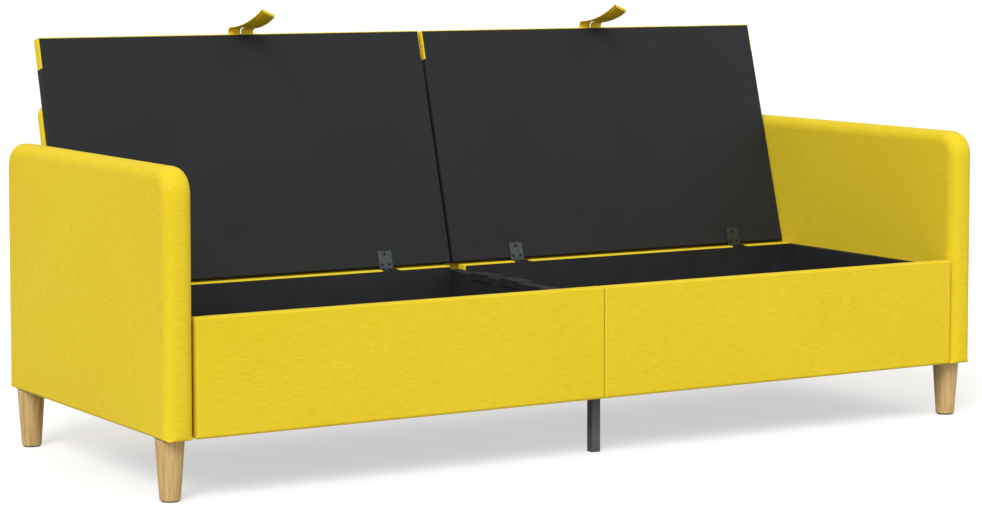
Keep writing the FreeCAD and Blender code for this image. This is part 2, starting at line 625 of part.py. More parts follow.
panel = board("divider_panel", DIVIDER_LEFT, BOX_FRONT, FLOOR_TOP,
              "divider", f"{BACK_RAIL_REAR} - rail_hem - {BOX_FRONT}", f"divider_top - {FLOOR_TOP}")
node(without("divider", panel, frame_holes), "divider")

blocks = []
for name, sign in (("front", "-"), ("rear", "+")):
    start = f"({FRONT} + block_place {sign} block_spacing / 2 - block_length / 2)"
    block = Block(name + "_rest_block")
    block.box("divider_offset - block_width / 2", start, "block_top - block_height",
              "block_width", "block_length", "block_height")
    block.hollow(DIVIDER_LEFT, start, "block_top - block_height",
                 "divider", "block_length", "divider_top - block_top + block_height")
    blocks.append(block.body)
node(together("rest_blocks", blocks), "rest_blocks")


def angle(label, x, y, across, along_y, flange):
    """Return an upright steel angle with its heel at (x, y), whose flanges go the signed ways."""
    near, far = f"{across} bracket", f"{across} {flange}"
    near_y, far_y = f"{along_y} bracket", f"{along_y} {flange}"
    points = [(x, y), (f"{x} {far}", y), (f"{x} {far}", f"{y} {near_y}"),
              (f"{x} {near}", f"{y} {near_y}"), (f"{x} {near}", f"{y} {far_y}"), (x, f"{y} {far_y}")]
    return profile(label, "XY", points, "bracket_level", "bracket_height")


corner_angles = []
divider_angles = []
for name, y, along_y in (("front", BOX_FRONT, "+"), ("rear", BOX_BACK, "-")):
    for side, x, across in (("left", f"-{SIDE_INNER}", "+"), ("right", SIDE_INNER, "-")):
        corner_angles.append(angle(f"{name}_{side}_corner", x, y, across, along_y, "bracket_flange"))
    for side, x, across in (("left", DIVIDER_LEFT, "-"), ("right", DIVIDER_RIGHT, "+")):
        divider_angles.append(angle(f"{name}_{side}_cheek", x, y, across, along_y, "divider_flange"))
all_holes = together("bracket_fixings", [frame_holes, arm_holes])
node(without("corner_brackets", together("corner_angles", corner_angles), all_holes), "corner_brackets")
cheek_angles = together("divider_angles", divider_angles)
node(without("divider_brackets", cheek_angles, all_holes), "divider_brackets")

# A steel centre support screwed under the bearer
TUBE_X = "(tube_place - tube / 2)"
SUPPORT_Y = f"({BOX_FRONT} + tube_inset)"
TUBE_Y = f"({SUPPORT_Y} - tube / 2)"
PLATE_LOW = "(base_level - tube_plate_thickness)"
plate_spots = [(f"tube_place {across} plate_screw_spacing / 2",
                f"{SUPPORT_Y} {back} plate_screw_spacing / 2", PLATE_LOW, "+z")
               for across in "-+" for back in "-+"]
plate_holes = copies("plate_holes", plate_hole, plate_spots)
node(copies("support_leg_screws", plate_screw, plate_spots), "support_leg_screws")
node(without("centre_bearer", bearer, plate_holes), "centre_bearer")
support = Block("support_tube")
support.box(TUBE_X, TUBE_Y, "cap", "tube", "tube", f"{PLATE_LOW} - cap")
support.round("tube_wall", upright)
support.hollow(f"{TUBE_X} + tube_wall", f"{TUBE_Y} + tube_wall", "cap",
               "tube - 2 * tube_wall", "tube - 2 * tube_wall", f"{PLATE_LOW} - cap")
support.box("tube_place - tube_plate / 2", f"{SUPPORT_Y} - tube_plate / 2", PLATE_LOW,
            "tube_plate", "tube_plate", "tube_plate_thickness")
node(without("support_leg", support.body, plate_holes), "support_leg")
foot = Block("foot_cap")
foot.box(TUBE_X, TUBE_Y, 0, "tube", "tube", "cap").round("cap / 2", upright)
foot.box(f"{TUBE_X} + tube_wall + play", f"{TUBE_Y} + tube_wall + play", "cap",
         "tube - 2 * tube_wall - 2 * play", "tube - 2 * tube_wall - 2 * play", "cap_plug")
node(foot.body, "support_leg_cap")

# Backrest: two padded panels that lean behind the open lids, with wedge blocks at their feet
BACKREST_LENGTH = f"({ARM} - backrest_side_gap - backrest_seam / 2)"
BACKREST_FRAME = "(backrest_thickness - 2 * backrest_padding)"


def outer_top_corner(side):
    """Return a test for the edge across a panel at its outer top corner."""
    def chosen(edge, box):
        outer = box.XMin if side == "left" else box.XMax
        centre = edge.CenterOfMass
        return along(edge, 2) and abs(centre.x - outer) < NEAR and abs(centre.y - box.YMin) < NEAR
    return chosen


for side in SIDES:
    low = span(side, "backrest_seam / 2", f"{ARM} - backrest_side_gap")
    panel = Block(f"backrest_{side}_outside", OPEN)
    panel.box(low, "-backrest_reach", BACKREST_FACE, BACKREST_LENGTH, "backrest_reach + backrest_drop",
              "backrest_thickness")
    panel.round("backrest_corner", outer_top_corner(side)).round("backrest_edge", face_rim)
    frame_low = f"{low} + backrest_padding"
    core_size = (f"({BACKREST_LENGTH} - 2 * backrest_padding)",
                 "backrest_reach + backrest_drop - backrest_padding", BACKREST_FRAME)
    core_place = (frame_low, "backrest_padding - backrest_reach", f"{BACKREST_FACE} + backrest_padding")
    core = Block(f"backrest_{side}_core", OPEN)
    core.box(*core_place, *core_size).round("backrest_corner - backrest_padding", outer_top_corner(side))
    cover = without(f"backrest_{side}_shell", panel.body, core.body)
    node(without(f"backrest_{side}_cover", cover, backrest_holes), f"backrest_{side}_cover")

    frame = Block(f"backrest_{side}_battens", OPEN)
    frame.box(*core_place, *core_size).round("backrest_corner - backrest_padding", outer_top_corner(side))
    bay = f"(({core_size[0]} - 3 * backrest_batten) / 2)"
    for shift in ("backrest_batten", f"2 * backrest_batten + {bay}"):
        frame.hollow(f"{frame_low} + {shift}", "backrest_padding + backrest_batten - backrest_reach",
                     core_place[2], bay,
                     "backrest_reach + backrest_drop - backrest_padding - 2 * backrest_batten",
                     BACKREST_FRAME)
    node(without(f"backrest_{side}_frame", frame.body, backrest_holes), f"backrest_{side}_frame")


def backrest_front(level):
    """Return the y of the backrest's front face at a height."""
    return f"{HINGE_Y} + ({BACKREST_FACE} - ({level} - seat_level) * cos(open_angle)) / sin(open_angle)"


wedges = []
for side, sign in SIDES.items():
    for name, middle in (("inner", "wedge_inner"), ("outer", f"({ARM} - wedge_outer)")):
        points = [(BACK_RAIL_REAR, "wedge_low"), (backrest_front("wedge_low"), "wedge_low"),
                  (backrest_front("wedge_high"), "wedge_high"), (BACK_RAIL_REAR, "wedge_high")]
        start = f"{sign} * {middle} - wedge_width / 2"
        wedges.append(profile(f"{side}_{name}_wedge", "YZ", points, start, "wedge_width"))
node(together("wedge_blocks", wedges), "wedge_blocks")

# Hinges: a leaf in a notch of the back rail, a leaf under the lid, and a pin through both
middle_knuckle = "knuckle_length / 2"
side_knuckle = "(knuckle_length / 2 + knuckle_gap)"
side_length = f"(leaf_width / 2 - {side_knuckle})"
rail_leaf = Block("rail_leaf_master")
rail_leaf.box("-rail_leaf_width / 2", "-rail_leaf_length", "-rail_top_padding",
              "rail_leaf_width", "rail_leaf_length - knuckle - knuckle_gap", "leaf")
rail_leaf.box(f"-{middle_knuckle}", "-(knuckle + knuckle_gap)", "-rail_top_padding",
              "knuckle_length", "2 * knuckle + knuckle_gap", "leaf")
rail_leaf.box(f"-{middle_knuckle}", "-knuckle", "leaf - rail_top_padding",
              "knuckle_length", "2 * knuckle", "rail_top_padding - leaf")
rail_leaf.cylinder(f"-{middle_knuckle}", 0, 0, "knuckle", "knuckle_length", "+x")
rail_leaf.bore(f"-{middle_knuckle}", 0, 0, "pin + pin_play", "knuckle_length", "+x")
lid_leaf = Block("lid_leaf_master")
lid_leaf.box("-leaf_width / 2", "-leaf_length", "lid_lift - leaf",
             "leaf_width", "leaf_length - knuckle - knuckle_gap", "leaf")
for start in ("-leaf_width / 2", side_knuckle):
    lid_leaf.box(start, "-(knuckle + knuckle_gap)", "lid_lift - leaf",
                 side_length, "knuckle + knuckle_gap", "leaf")
    lid_leaf.cylinder(start, 0, 0, "knuckle", side_length, "+x")
for start in ("-leaf_width / 2", side_knuckle):
    lid_leaf.bore(start, 0, 0, "pin + pin_play", side_length, "+x")
pin = Block("pin_master").cylinder(0, 0, 0, "pin", "leaf_width").body

every_hinge = [across for side in SIDES for across in HINGES[side]]
rail_leaves = copies("rail_leaves", rail_leaf.body, [(across, 0, 0, "+z") for across in every_hinge], CLOSED)
node(without("hinge_rail_leaves", rail_leaves, rail_leaf_holes), "hinge_rail_leaves")
node(copies("hinge_rail_screws", small_screw, hinge_screw_spots, CLOSED), "hinge_rail_screws")
pin_spots = [(f"{across} - leaf_width / 2", 0, 0, "+x") for across in every_hinge]
node(copies("hinge_pins", pin, pin_spots, CLOSED), "hinge_pins")


# Lids: a board and a foam pad in black cloth, with a yellow front, and a pull strap
def away_from_wrap(edge, box):
    """Pick the edges that don't meet the yellow front wrap."""
    return edge.CenterOfMass.y > box.YMin + NEAR


def away_from_cover(edge, box):
    """Pick the edges that don't meet the black cover."""
    return edge.CenterOfMass.y < box.YMax - NEAR


def strap_section(spot, lean, way):
    """Return the webbing's four corners round a point, leaning by an angle, square to its way."""
    width = FreeCAD.Vector(math.cos(lean), math.sin(lean), 0)
    across = width * (sheet.get("strap_width") / 2)
    through = way.cross(width).normalize() * (sheet.get("strap_cloth") / 2)
    return [spot + across + through, spot + across - through,
            spot - across - through, spot - across + through]


def flat_faces(sections):
    """Return the two end faces, and two triangles on each side between neighbouring sections.

    Opposite sides are split along the same diagonal, so that the webbing keeps its thickness.
    """
    corners = [sections[0], sections[-1]]
    for near, far in zip(sections, sections[1:]):
        for i in range(4):
            j = (i + 1) % 4
            if i < 2:
                corners += [(near[i], near[j], far[j]), (far[j], far[i], near[i])]
            else:
                corners += [(near[i], near[j], far[i]), (far[j], far[i], near[j])]
    return [Part.Face(Part.makePolygon([*face, face[0]])) for face in corners]


def strap_leg(middle, foot, foot_lift, near):
    """Return the points and leans of one leg of the strap, from the lid's free edge to the fold.

    The leg leaves the edge, turns down in an arc and runs to the fold. On the way its reach
    beyond the edge follows the parabola through its values at the arc, half-way and at the
    fold. The foot's place across and how near the leg lies to the edge tell two legs apart.
    """
    edge = sheet.get("depth") - sum(sheet.get(size) for size in (
        "hinge_rear", "rail_recess", "rail_thickness", "lid_front_gap"))
    foot_height = sheet.get("lid_lift") + sheet.get("strap_foot")
    start = edge + sheet.get("strap_cloth") / 2
    radius = sheet.get("strap_bend") - foot_lift
    leg = [(FreeCAD.Vector(middle + foot, -edge, foot_height), 0)]
    for step in range(4):
        turn = math.radians(30 * step)
        reach = start + radius * math.sin(turn)
        height = foot_height - radius * (1 - math.cos(turn))
        leg.append((FreeCAD.Vector(middle + foot, -reach, height), 0))
    for step in range(1, 7):
        share = step / 6
        reach = ((start + radius) * (1 - share) * (1 - 2 * share)
                 + 4 * (edge + sheet.get("strap_waist") - foot_lift) * share * (1 - share)
                 + (edge + sheet.get("strap_reach") - near) * share * (2 * share - 1))
        across = middle + foot + (sheet.get("strap_lean") - foot) * share
        height = foot_height - radius - (sheet.get("strap_drop") + foot_height - radius) * share
        lean = math.radians(sheet.get("strap_tilt")) * share ** 2
        leg.append((FreeCAD.Vector(across, -reach, height), lean))
    return leg


def strap(label, middle):
    """Return the pull strap: webbing from one foot on the lid's edge round a fold to the other."""
    half_feet = sheet.get("strap_feet") / 2
    apart = sheet.get("strap_slot") + sheet.get("strap_cloth")
    outer = strap_leg(middle, -half_feet, 0, 0)
    inner = strap_leg(middle, half_feet, sheet.get("strap_cloth") + sheet.get("strap_space"), apart)
    fold_middle = (outer[-1][0] + inner[-1][0]) / 2
    half = (outer[-1][0] - inner[-1][0]) / 2
    fold = []
    for step in range(1, 6):
        turn = math.radians(30 * step)
        spot = fold_middle + half * math.cos(turn) + FreeCAD.Vector(0, 0, -apart / 2) * math.sin(turn)
        fold.append((spot, outer[-1][1]))
    path = outer + fold + inner[::-1]
    straight = FreeCAD.Vector(0, -1, 0)
    ways = [after[0] - before[0] for before, after in zip(path, path[2:])]
    sections = [strap_section(spot, lean, FreeCAD.Vector(0, way.y, way.z).normalize())
                for (spot, lean), way in zip(path, [straight, *ways, straight * -1])]
    thing = doc.addObject("Part::Feature", label)
    webbing = Part.Solid(Part.Shell(flat_faces(sections)))
    thing.Shape = webbing.removeSplitter()
    thing.setExpression("Placement", bound(OPEN))
    return thing


for side in SIDES:
    low = span(side, "lid_gap / 2", f"(lid_gap / 2 + {LID_WIDTH})")
    free_edge = f"-{LID_END}"
    spots = [(f"{across} {shift}", f"-{reach}", "lid_lift - leaf", "+z") for across in HINGES[side]
             for shift, reach in (("- leaf_screw_spread", "leaf_screw_low"),
                                  ("+ leaf_screw_spread", "leaf_screw_low"), ("", "leaf_screw_high"))]
    holes = copies(side + "_leaf_holes", small_hole, spots, OPEN)
    node(copies(side + "_hinge_screws", small_screw, spots, OPEN), side + "_hinge_screws")
    leaves = copies(side + "_leaves", lid_leaf.body, [(across, 0, 0, "+z") for across in HINGES[side]], OPEN)
    node(without(side + "_hinge_leaves", leaves, holes), side + "_hinge_leaves")

    plain = board(side + "_lid_plank", f"{low} + cloth", f"{free_edge} + cloth", "lid_lift + cloth",
                  f"{LID_WIDTH} - 2 * cloth", f"{LID_LENGTH} - 2 * cloth", "lid_board", OPEN)
    node(without(side + "_lid_board", plain, holes), side + "_lid_board")
    node(board(side + "_lid_pad", f"{low} + cloth", f"{free_edge} + cloth", "lid_lift + cloth + lid_board",
               f"{LID_WIDTH} - 2 * cloth", f"{LID_LENGTH} - 2 * cloth",
               "lid_thickness - lid_board - 2 * cloth", OPEN), side + "_lid_pad")

    sleeve = Block(side + "_lid_sleeve", OPEN)
    sleeve.box(low, f"{free_edge} + wrap", "lid_lift",
               LID_WIDTH, f"{LID_LENGTH} - wrap", "lid_thickness")
    sleeve.round("lid_edge", away_from_wrap)
    sleeve.hollow(f"{low} + cloth", f"{free_edge} + wrap", "lid_lift + cloth",
                  f"{LID_WIDTH} - 2 * cloth", f"{LID_LENGTH} - wrap - cloth", "lid_thickness - 2 * cloth")
    sleeve.box(f"{low} + cloth", f"{free_edge} + lip", "lid_lift",
               f"{LID_WIDTH} - 2 * cloth", "wrap - lip", "cloth")
    node(without(side + "_lid_cover", sleeve.body, holes), side + "_lid_cover")

    front = Block(side + "_lid_front", OPEN)
    front.box(low, free_edge, "lid_lift", LID_WIDTH, "wrap", "lid_thickness")
    front.round("lid_edge", away_from_cover)
    front.hollow(f"{low} + cloth", f"{free_edge} + cloth", "lid_lift",
                 f"{LID_WIDTH} - 2 * cloth", "wrap - cloth", "lid_thickness - cloth")
    front.box(f"{low} + cloth", f"{free_edge} + cloth", "lid_lift",
              f"{LID_WIDTH} - 2 * cloth", "lip - cloth", "cloth")
    node(front.body, side + "_lid_front_wrap")
    node(strap(side + "_strap", sheet.get("strap_" + side)), side + "_pull_strap")

doc.recompute()

# Check every object and write each sub-part
broken = [item.Label for item in doc.Objects if "Invalid" in item.State or "Error" in item.State]
for item in nodes:
    if item.Shape.isNull() or not item.Shape.isValid() or not item.Shape.Solids:
        broken.append(item.Label)
if broken:
    raise RuntimeError("These objects failed: " + ", ".join(broken))
os.makedirs("parts", exist_ok=True)
for item in nodes:
    item.Shape.exportStep(f"parts/{item.Label}.step")
print(len(nodes), "sub-parts written")
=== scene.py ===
"""Dressed model of the storage sofa: its upholstery, its finishes, and a plain studio.

Everything is in metres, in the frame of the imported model: +X along the sofa, +Y towards its
back, +Z up, with the origin on the floor. Sizes in the classes are in millimetres. The hard
parts keep their own solids and get a finish. The upholstery is modelled here.
"""

import json
import logging
import math
from dataclasses import dataclass
from enum import Enum
from typing import Any, Callable

import bpy
import numpy as np
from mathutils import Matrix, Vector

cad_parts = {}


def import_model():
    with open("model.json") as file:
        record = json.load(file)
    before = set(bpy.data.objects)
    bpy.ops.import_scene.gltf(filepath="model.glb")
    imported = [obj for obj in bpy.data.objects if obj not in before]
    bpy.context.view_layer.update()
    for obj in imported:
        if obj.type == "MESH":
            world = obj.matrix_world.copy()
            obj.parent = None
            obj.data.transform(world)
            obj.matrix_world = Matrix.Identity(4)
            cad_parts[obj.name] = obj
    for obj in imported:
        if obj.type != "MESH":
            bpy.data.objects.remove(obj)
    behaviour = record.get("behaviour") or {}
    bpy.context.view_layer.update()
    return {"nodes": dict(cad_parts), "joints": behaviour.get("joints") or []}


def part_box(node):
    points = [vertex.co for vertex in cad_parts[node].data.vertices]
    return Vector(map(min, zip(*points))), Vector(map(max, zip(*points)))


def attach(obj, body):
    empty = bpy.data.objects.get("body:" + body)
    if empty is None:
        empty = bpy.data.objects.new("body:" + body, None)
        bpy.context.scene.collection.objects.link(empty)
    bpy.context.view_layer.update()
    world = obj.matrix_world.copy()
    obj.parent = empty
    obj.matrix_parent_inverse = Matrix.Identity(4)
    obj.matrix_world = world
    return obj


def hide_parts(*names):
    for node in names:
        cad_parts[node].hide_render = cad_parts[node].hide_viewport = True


LOG = logging.getLogger("storage_sofa")
MM = 0.001

Array = np.ndarray
Sides = tuple[float, float, float, float]


# Node trees and finishes


def linear(hex_colour: str) -> tuple[float, float, float, float]:
    """Turn an sRGB hex colour into linear red, green, blue and alpha.

    Args:
        hex_colour: A colour such as "#E2C82D".

    Returns:
        The four linear values that a shader socket takes.
    """
    parts = [int(hex_colour[i:i + 2], 16) / 255 for i in (1, 3, 5)]
    low = [part / 12.92 for part in parts]
    high = [((part + 0.055) / 1.055) ** 2.4 for part in parts]
    red, green, blue = (a if part <= 0.04045 else b for part, a, b in zip(parts, low, high))
    return red, green, blue, 1.0


def add_node(tree: bpy.types.NodeTree, kind: str, settings: dict[Any, Any] | None = None,
             links: dict[Any, bpy.types.NodeSocket] | None = None) -> bpy.types.Node:
    """Add one node to a tree, with its settings and its links.

    Args:
        tree: The tree that gets the node.
        kind: The node's type without its "ShaderNode" prefix.
        settings: Values by the name of a property or by the name or number of an input.
            "stops" gives a colour ramp its places and hex colours.
        links: The sockets that feed inputs, by the input's name or number.

    Returns:
        The new node.
    """
    node = tree.nodes.new("ShaderNode" + kind)
    for name, value in (settings or {}).items():
        if name == "stops":
            elements = node.color_ramp.elements
            while len(elements) < len(value):
                elements.new(0.5)
            for element, (spot, colour) in zip(elements, value):
                element.position = spot
                element.color = linear(colour)
        elif isinstance(name, str) and hasattr(node, name):
            setattr(node, name, value)
        else:
            node.inputs[name].default_value = value
    for name, socket in (links or {}).items():
        tree.links.new(socket, node.inputs[name])
    return node


class Coordinates(Enum):
    """What a pattern is laid out on: the piece's own cloth, or the solid itself."""

    CLOTH = "UV"
    SOLID = "Object"


@dataclass(frozen=True)
class Finish:
    """A surface finish: the constants of its shader, and the pattern that its class adds."""

    name: str
    roughness: float = 0.5
    ior: float = 1.5
    metallic: float = 0.0
    sheen: float = 0.0
    coat: float = 0.0
    layout: Coordinates = Coordinates.SOLID

    def material(self) -> bpy.types.Material:
        """Return the finish as a material, made once and then shared."""
        found = bpy.data.materials.get(self.name)
        if found is not None:
            return found
        made = bpy.data.materials.new(self.name)
        made.use_nodes = True
        tree = made.node_tree
        tree.nodes.clear()
        settings: dict[Any, Any] = {
            "Roughness": self.roughness, "IOR": self.ior, "Metallic": self.metallic,
            "Sheen Weight": self.sheen, "Coat Weight": self.coat,
        }
        if self.metallic:
            del settings["IOR"]
        shader = add_node(tree, "BsdfPrincipled", settings)
        add_node(tree, "OutputMaterial", links={"Surface": shader.outputs["BSDF"]})
        coordinates = add_node(tree, "TexCoord").outputs[self.layout.value]
        self.pattern(tree, shader, coordinates)
        return made

    def pattern(self, tree: bpy.types.NodeTree, shader: bpy.types.Node,
                coordinates: bpy.types.NodeSocket) -> None:
        """Feed the shader's colour, roughness and normal. Each kind of finish has its own."""
        raise NotImplementedError


def streaks(tree: bpy.types.NodeTree, coordinates: bpy.types.NodeSocket,
            length: float, width: float, detail: float = 3.0) -> bpy.types.NodeSocket:
    """Add noise drawn out along the first coordinate.

    Args:
        tree: The tree that gets the nodes.
        coordinates: Coordinates in metres.
        length: A streak's length in metres.
        width: A streak's width in metres.
        detail: How many finer layers of noise it has.

    Returns:
        The noise's value, about 0.5 in the mean.
    """
    scaled = add_node(tree, "Mapping", {"Scale": (1 / length, 1 / width, 1 / width)},
                      {"Vector": coordinates})
    noise = add_node(tree, "TexNoise", {"Scale": 1.0, "Detail": detail, "Roughness": 0.55},
                     {"Vector": scaled.outputs["Vector"]})
    return noise.outputs["Fac"]


@dataclass(frozen=True)
class WovenLinen(Finish):
    """Linen-look upholstery cloth in plain weave, dull, with thick and thin weft yarns.

    The eye sees a matt yellow, lighter along the thick yarns (slubs), which run level on the
    sofa. The real yarns are 0.6 mm apart. They are drawn 1.8 mm apart so that they show.
    """

    yarn: float = 0.0018
    slub_length: float = 0.03
    slub_width: float = 0.0016
    relief: float = 0.0002
    shade: str = "#D9BB1E"
    body: str = "#DEC224"
    light: str = "#E4CA30"

    def pattern(self, tree: bpy.types.NodeTree, shader: bpy.types.Node,
                coordinates: bpy.types.NodeSocket) -> None:
        """Add slubs along the weft, weaker ones along the warp, and the weave's relief."""
        weft = streaks(tree, coordinates, self.slub_length, self.slub_width)
        warp_turn = add_node(tree, "Mapping", {"Rotation": (0.0, 0.0, math.pi / 2)},
                             {"Vector": coordinates})
        warp = streaks(tree, warp_turn.outputs["Vector"], self.slub_length, self.slub_width, 2.0)
        broad = add_node(tree, "TexNoise", {"Scale": 2.5, "Detail": 1.0}, {"Vector": coordinates})
        cloth = add_node(tree, "Math", {"operation": "MULTIPLY_ADD", 1: 0.35},
                         {0: warp, 2: weft})
        cloth = add_node(tree, "Math", {"operation": "MULTIPLY_ADD", 1: 0.25},
                         {0: broad.outputs["Fac"], 2: cloth.outputs["Value"]})
        level = add_node(tree, "MapRange", {"From Min": 0.55, "From Max": 1.05},
                         {"Value": cloth.outputs["Value"]})
        colour = add_node(tree, "ValToRGB", {"stops": [
            (0.15, self.shade), (0.5, self.body), (0.85, self.light)]},
            {"Fac": level.outputs["Result"]})
        tree.links.new(colour.outputs["Color"], shader.inputs["Base Color"])
        pitch = math.tau / (2 * self.yarn)
        yarns = []
        for axis in "XY":
            place = add_node(tree, "SeparateXYZ", links={"Vector": coordinates}).outputs[axis]
            turn = add_node(tree, "Math", {"operation": "MULTIPLY", 1: pitch}, {0: place})
            wave = add_node(tree, "Math", {"operation": "SINE"}, {0: turn.outputs["Value"]})
            yarns.append(wave.outputs["Value"])
        weave = add_node(tree, "Math", {"operation": "MULTIPLY"}, {0: yarns[0], 1: yarns[1]})
        height = add_node(tree, "Math", {"operation": "MULTIPLY_ADD", 1: 0.35},
                          {0: weave.outputs["Value"], 2: level.outputs["Result"]})
        bump = add_node(tree, "Bump", {"Strength": 0.45, "Distance": self.relief},
                        {"Height": height.outputs["Value"]})
        tree.links.new(bump.outputs["Normal"], shader.inputs["Normal"])


@dataclass(frozen=True)
class LiningCloth(Finish):
    """Non-woven polypropylene lining, black, heat-bonded in a grid of small points.

    The eye sees a flat dark grey with a faint soft gloss. The real points are 1.5 mm apart and
    are drawn 3 mm apart.
    """

    point: float = 0.003
    bond_depth: float = 0.0003
    dark: str = "#1F2021"
    light: str = "#252728"

    def pattern(self, tree: bpy.types.NodeTree, shader: bpy.types.Node,
                coordinates: bpy.types.NodeSocket) -> None:
        """Add the fibre mottle and the bonded points."""
        fibre = add_node(tree, "TexNoise", {"Scale": 260.0, "Detail": 3.0}, {"Vector": coordinates})
        broad = add_node(tree, "TexNoise", {"Scale": 5.0, "Detail": 2.0}, {"Vector": coordinates})
        mixed = add_node(tree, "Math", {"operation": "MULTIPLY_ADD", 1: 0.6},
                         {0: broad.outputs["Fac"], 2: fibre.outputs["Fac"]})
        colour = add_node(tree, "ValToRGB", {"stops": [(0.55, self.dark), (1.0, self.light)]},
                          {"Fac": mixed.outputs["Value"]})
        tree.links.new(colour.outputs["Color"], shader.inputs["Base Color"])
        points = add_node(tree, "TexVoronoi", {"Scale": 1 / self.point, "Randomness": 0.15},
                          {"Vector": coordinates})
        bump = add_node(tree, "Bump", {"Strength": 0.25, "Distance": self.bond_depth},
                        {"Height": points.outputs["Distance"]})
        tree.links.new(bump.outputs["Normal"], shader.inputs["Normal"])


@dataclass(frozen=True)
class LinedBoard(Finish):
    """Fibreboard with a black printed melamine paper, pressed against a fine-grained plate.

    The eye sees a near-black sheet, slightly glossier than the cloth, with a fine even grain.
    """

    grain: float = 0.0008
    grain_depth: float = 0.0002
    dark: str = "#1D1E20"
    light: str = "#242628"

    def pattern(self, tree: bpy.types.NodeTree, shader: bpy.types.Node,
                coordinates: bpy.types.NodeSocket) -> None:
        """Add the paper's tone and the press plate's grain."""
        tone = add_node(tree, "TexNoise", {"Scale": 14.0, "Detail": 4.0}, {"Vector": coordinates})
        colour = add_node(tree, "ValToRGB", {"stops": [(0.35, self.dark), (0.7, self.light)]},
                          {"Fac": tone.outputs["Fac"]})
        tree.links.new(colour.outputs["Color"], shader.inputs["Base Color"])
        grain = add_node(tree, "TexNoise", {"Scale": 1 / self.grain, "Detail": 1.0},
                         {"Vector": coordinates})
        bump = add_node(tree, "Bump", {"Strength": 0.2, "Distance": self.grain_depth},
                        {"Height": grain.outputs["Fac"]})
        tree.links.new(bump.outputs["Normal"], shader.inputs["Normal"])


class Grain(Enum):
    """Which way a wood's grain runs, as the turn that brings it onto the first coordinate."""

    LENGTHWISE = (0.0, 0.0, 0.0)
    UPRIGHT = (0.0, math.pi / 2, 0.0)


@dataclass(frozen=True)
class Wood(Finish):
    """Planed wood under a clear satin lacquer, or bare sawn wood where the coat is nought.

    The eye sees long soft bands of two close tones along the grain, and short darker flecks.
    """

    grain: Grain = Grain.UPRIGHT
    band: float = 0.006
    band_length: float = 0.16
    fleck: float = 0.0011
    fleck_length: float = 0.005
    dark: str = "#B08C50"
    body: str = "#C4A368"
    light: str = "#CEB07B"
    fleck_tone: str = "#9C743C"

    def pattern(self, tree: bpy.types.NodeTree, shader: bpy.types.Node,
                coordinates: bpy.types.NodeSocket) -> None:
        """Add growth bands and ray flecks, both drawn out along the grain."""
        turned = add_node(tree, "Mapping", {"Rotation": self.grain.value},
                          {"Vector": coordinates}).outputs["Vector"]
        bands = streaks(tree, turned, self.band_length, self.band, 4.0)
        colour = add_node(tree, "ValToRGB", {"stops": [
            (0.3, self.dark), (0.5, self.body), (0.7, self.light)]}, {"Fac": bands})
        flecks = streaks(tree, turned, self.fleck_length, self.fleck, 1.0)
        shown = add_node(tree, "MapRange", {"From Min": 0.64, "From Max": 0.76, "To Max": 0.55},
                         {"Value": flecks})
        both = add_node(tree, "Mix", {"data_type": "RGBA", 7: linear(self.fleck_tone)},
                        {0: shown.outputs["Result"], 6: colour.outputs["Color"]})
        tree.links.new(both.outputs[2], shader.inputs["Base Color"])
        bump = add_node(tree, "Bump", {"Strength": 0.15, "Distance": 0.0002}, {"Height": bands})
        tree.links.new(bump.outputs["Normal"], shader.inputs["Normal"])


@dataclass(frozen=True)
class Grained(Finish):
    """A hard surface of two close tones with a fine relief.

    Powder coat has an orange peel of 2 mm, black moulded plastic an eroded grain of 0.8 mm,
    zinc plate and burnished steel a faint mottle, and felt its fibres.
    """

    dark: str = "#464B4C"
    light: str = "#505556"
    mottle: float = 0.02
    relief_size: float = 0.002
    relief: float = 0.0001
    strength: float = 0.25

    def pattern(self, tree: bpy.types.NodeTree, shader: bpy.types.Node,
                coordinates: bpy.types.NodeSocket) -> None:
        """Add the tone's mottle, its roughness, and the relief."""
        tone = add_node(tree, "TexNoise", {"Scale": 1 / self.mottle, "Detail": 3.0},
                        {"Vector": coordinates})
        colour = add_node(tree, "ValToRGB", {"stops": [(0.35, self.dark), (0.65, self.light)]},
                          {"Fac": tone.outputs["Fac"]})
        tree.links.new(colour.outputs["Color"], shader.inputs["Base Color"])
        dull = add_node(tree, "MapRange", {"To Min": self.roughness - 0.07,
                                           "To Max": self.roughness + 0.07},
                        {"Value": tone.outputs["Fac"]})
        tree.links.new(dull.outputs["Result"], shader.inputs["Roughness"])
        fine = add_node(tree, "TexNoise", {"Scale": 1 / self.relief_size, "Detail": 2.0},
                        {"Vector": coordinates})
        bump = add_node(tree, "Bump", {"Strength": self.strength, "Distance": self.relief},
                        {"Height": fine.outputs["Fac"]})
        tree.links.new(bump.outputs["Normal"], shader.inputs["Normal"])


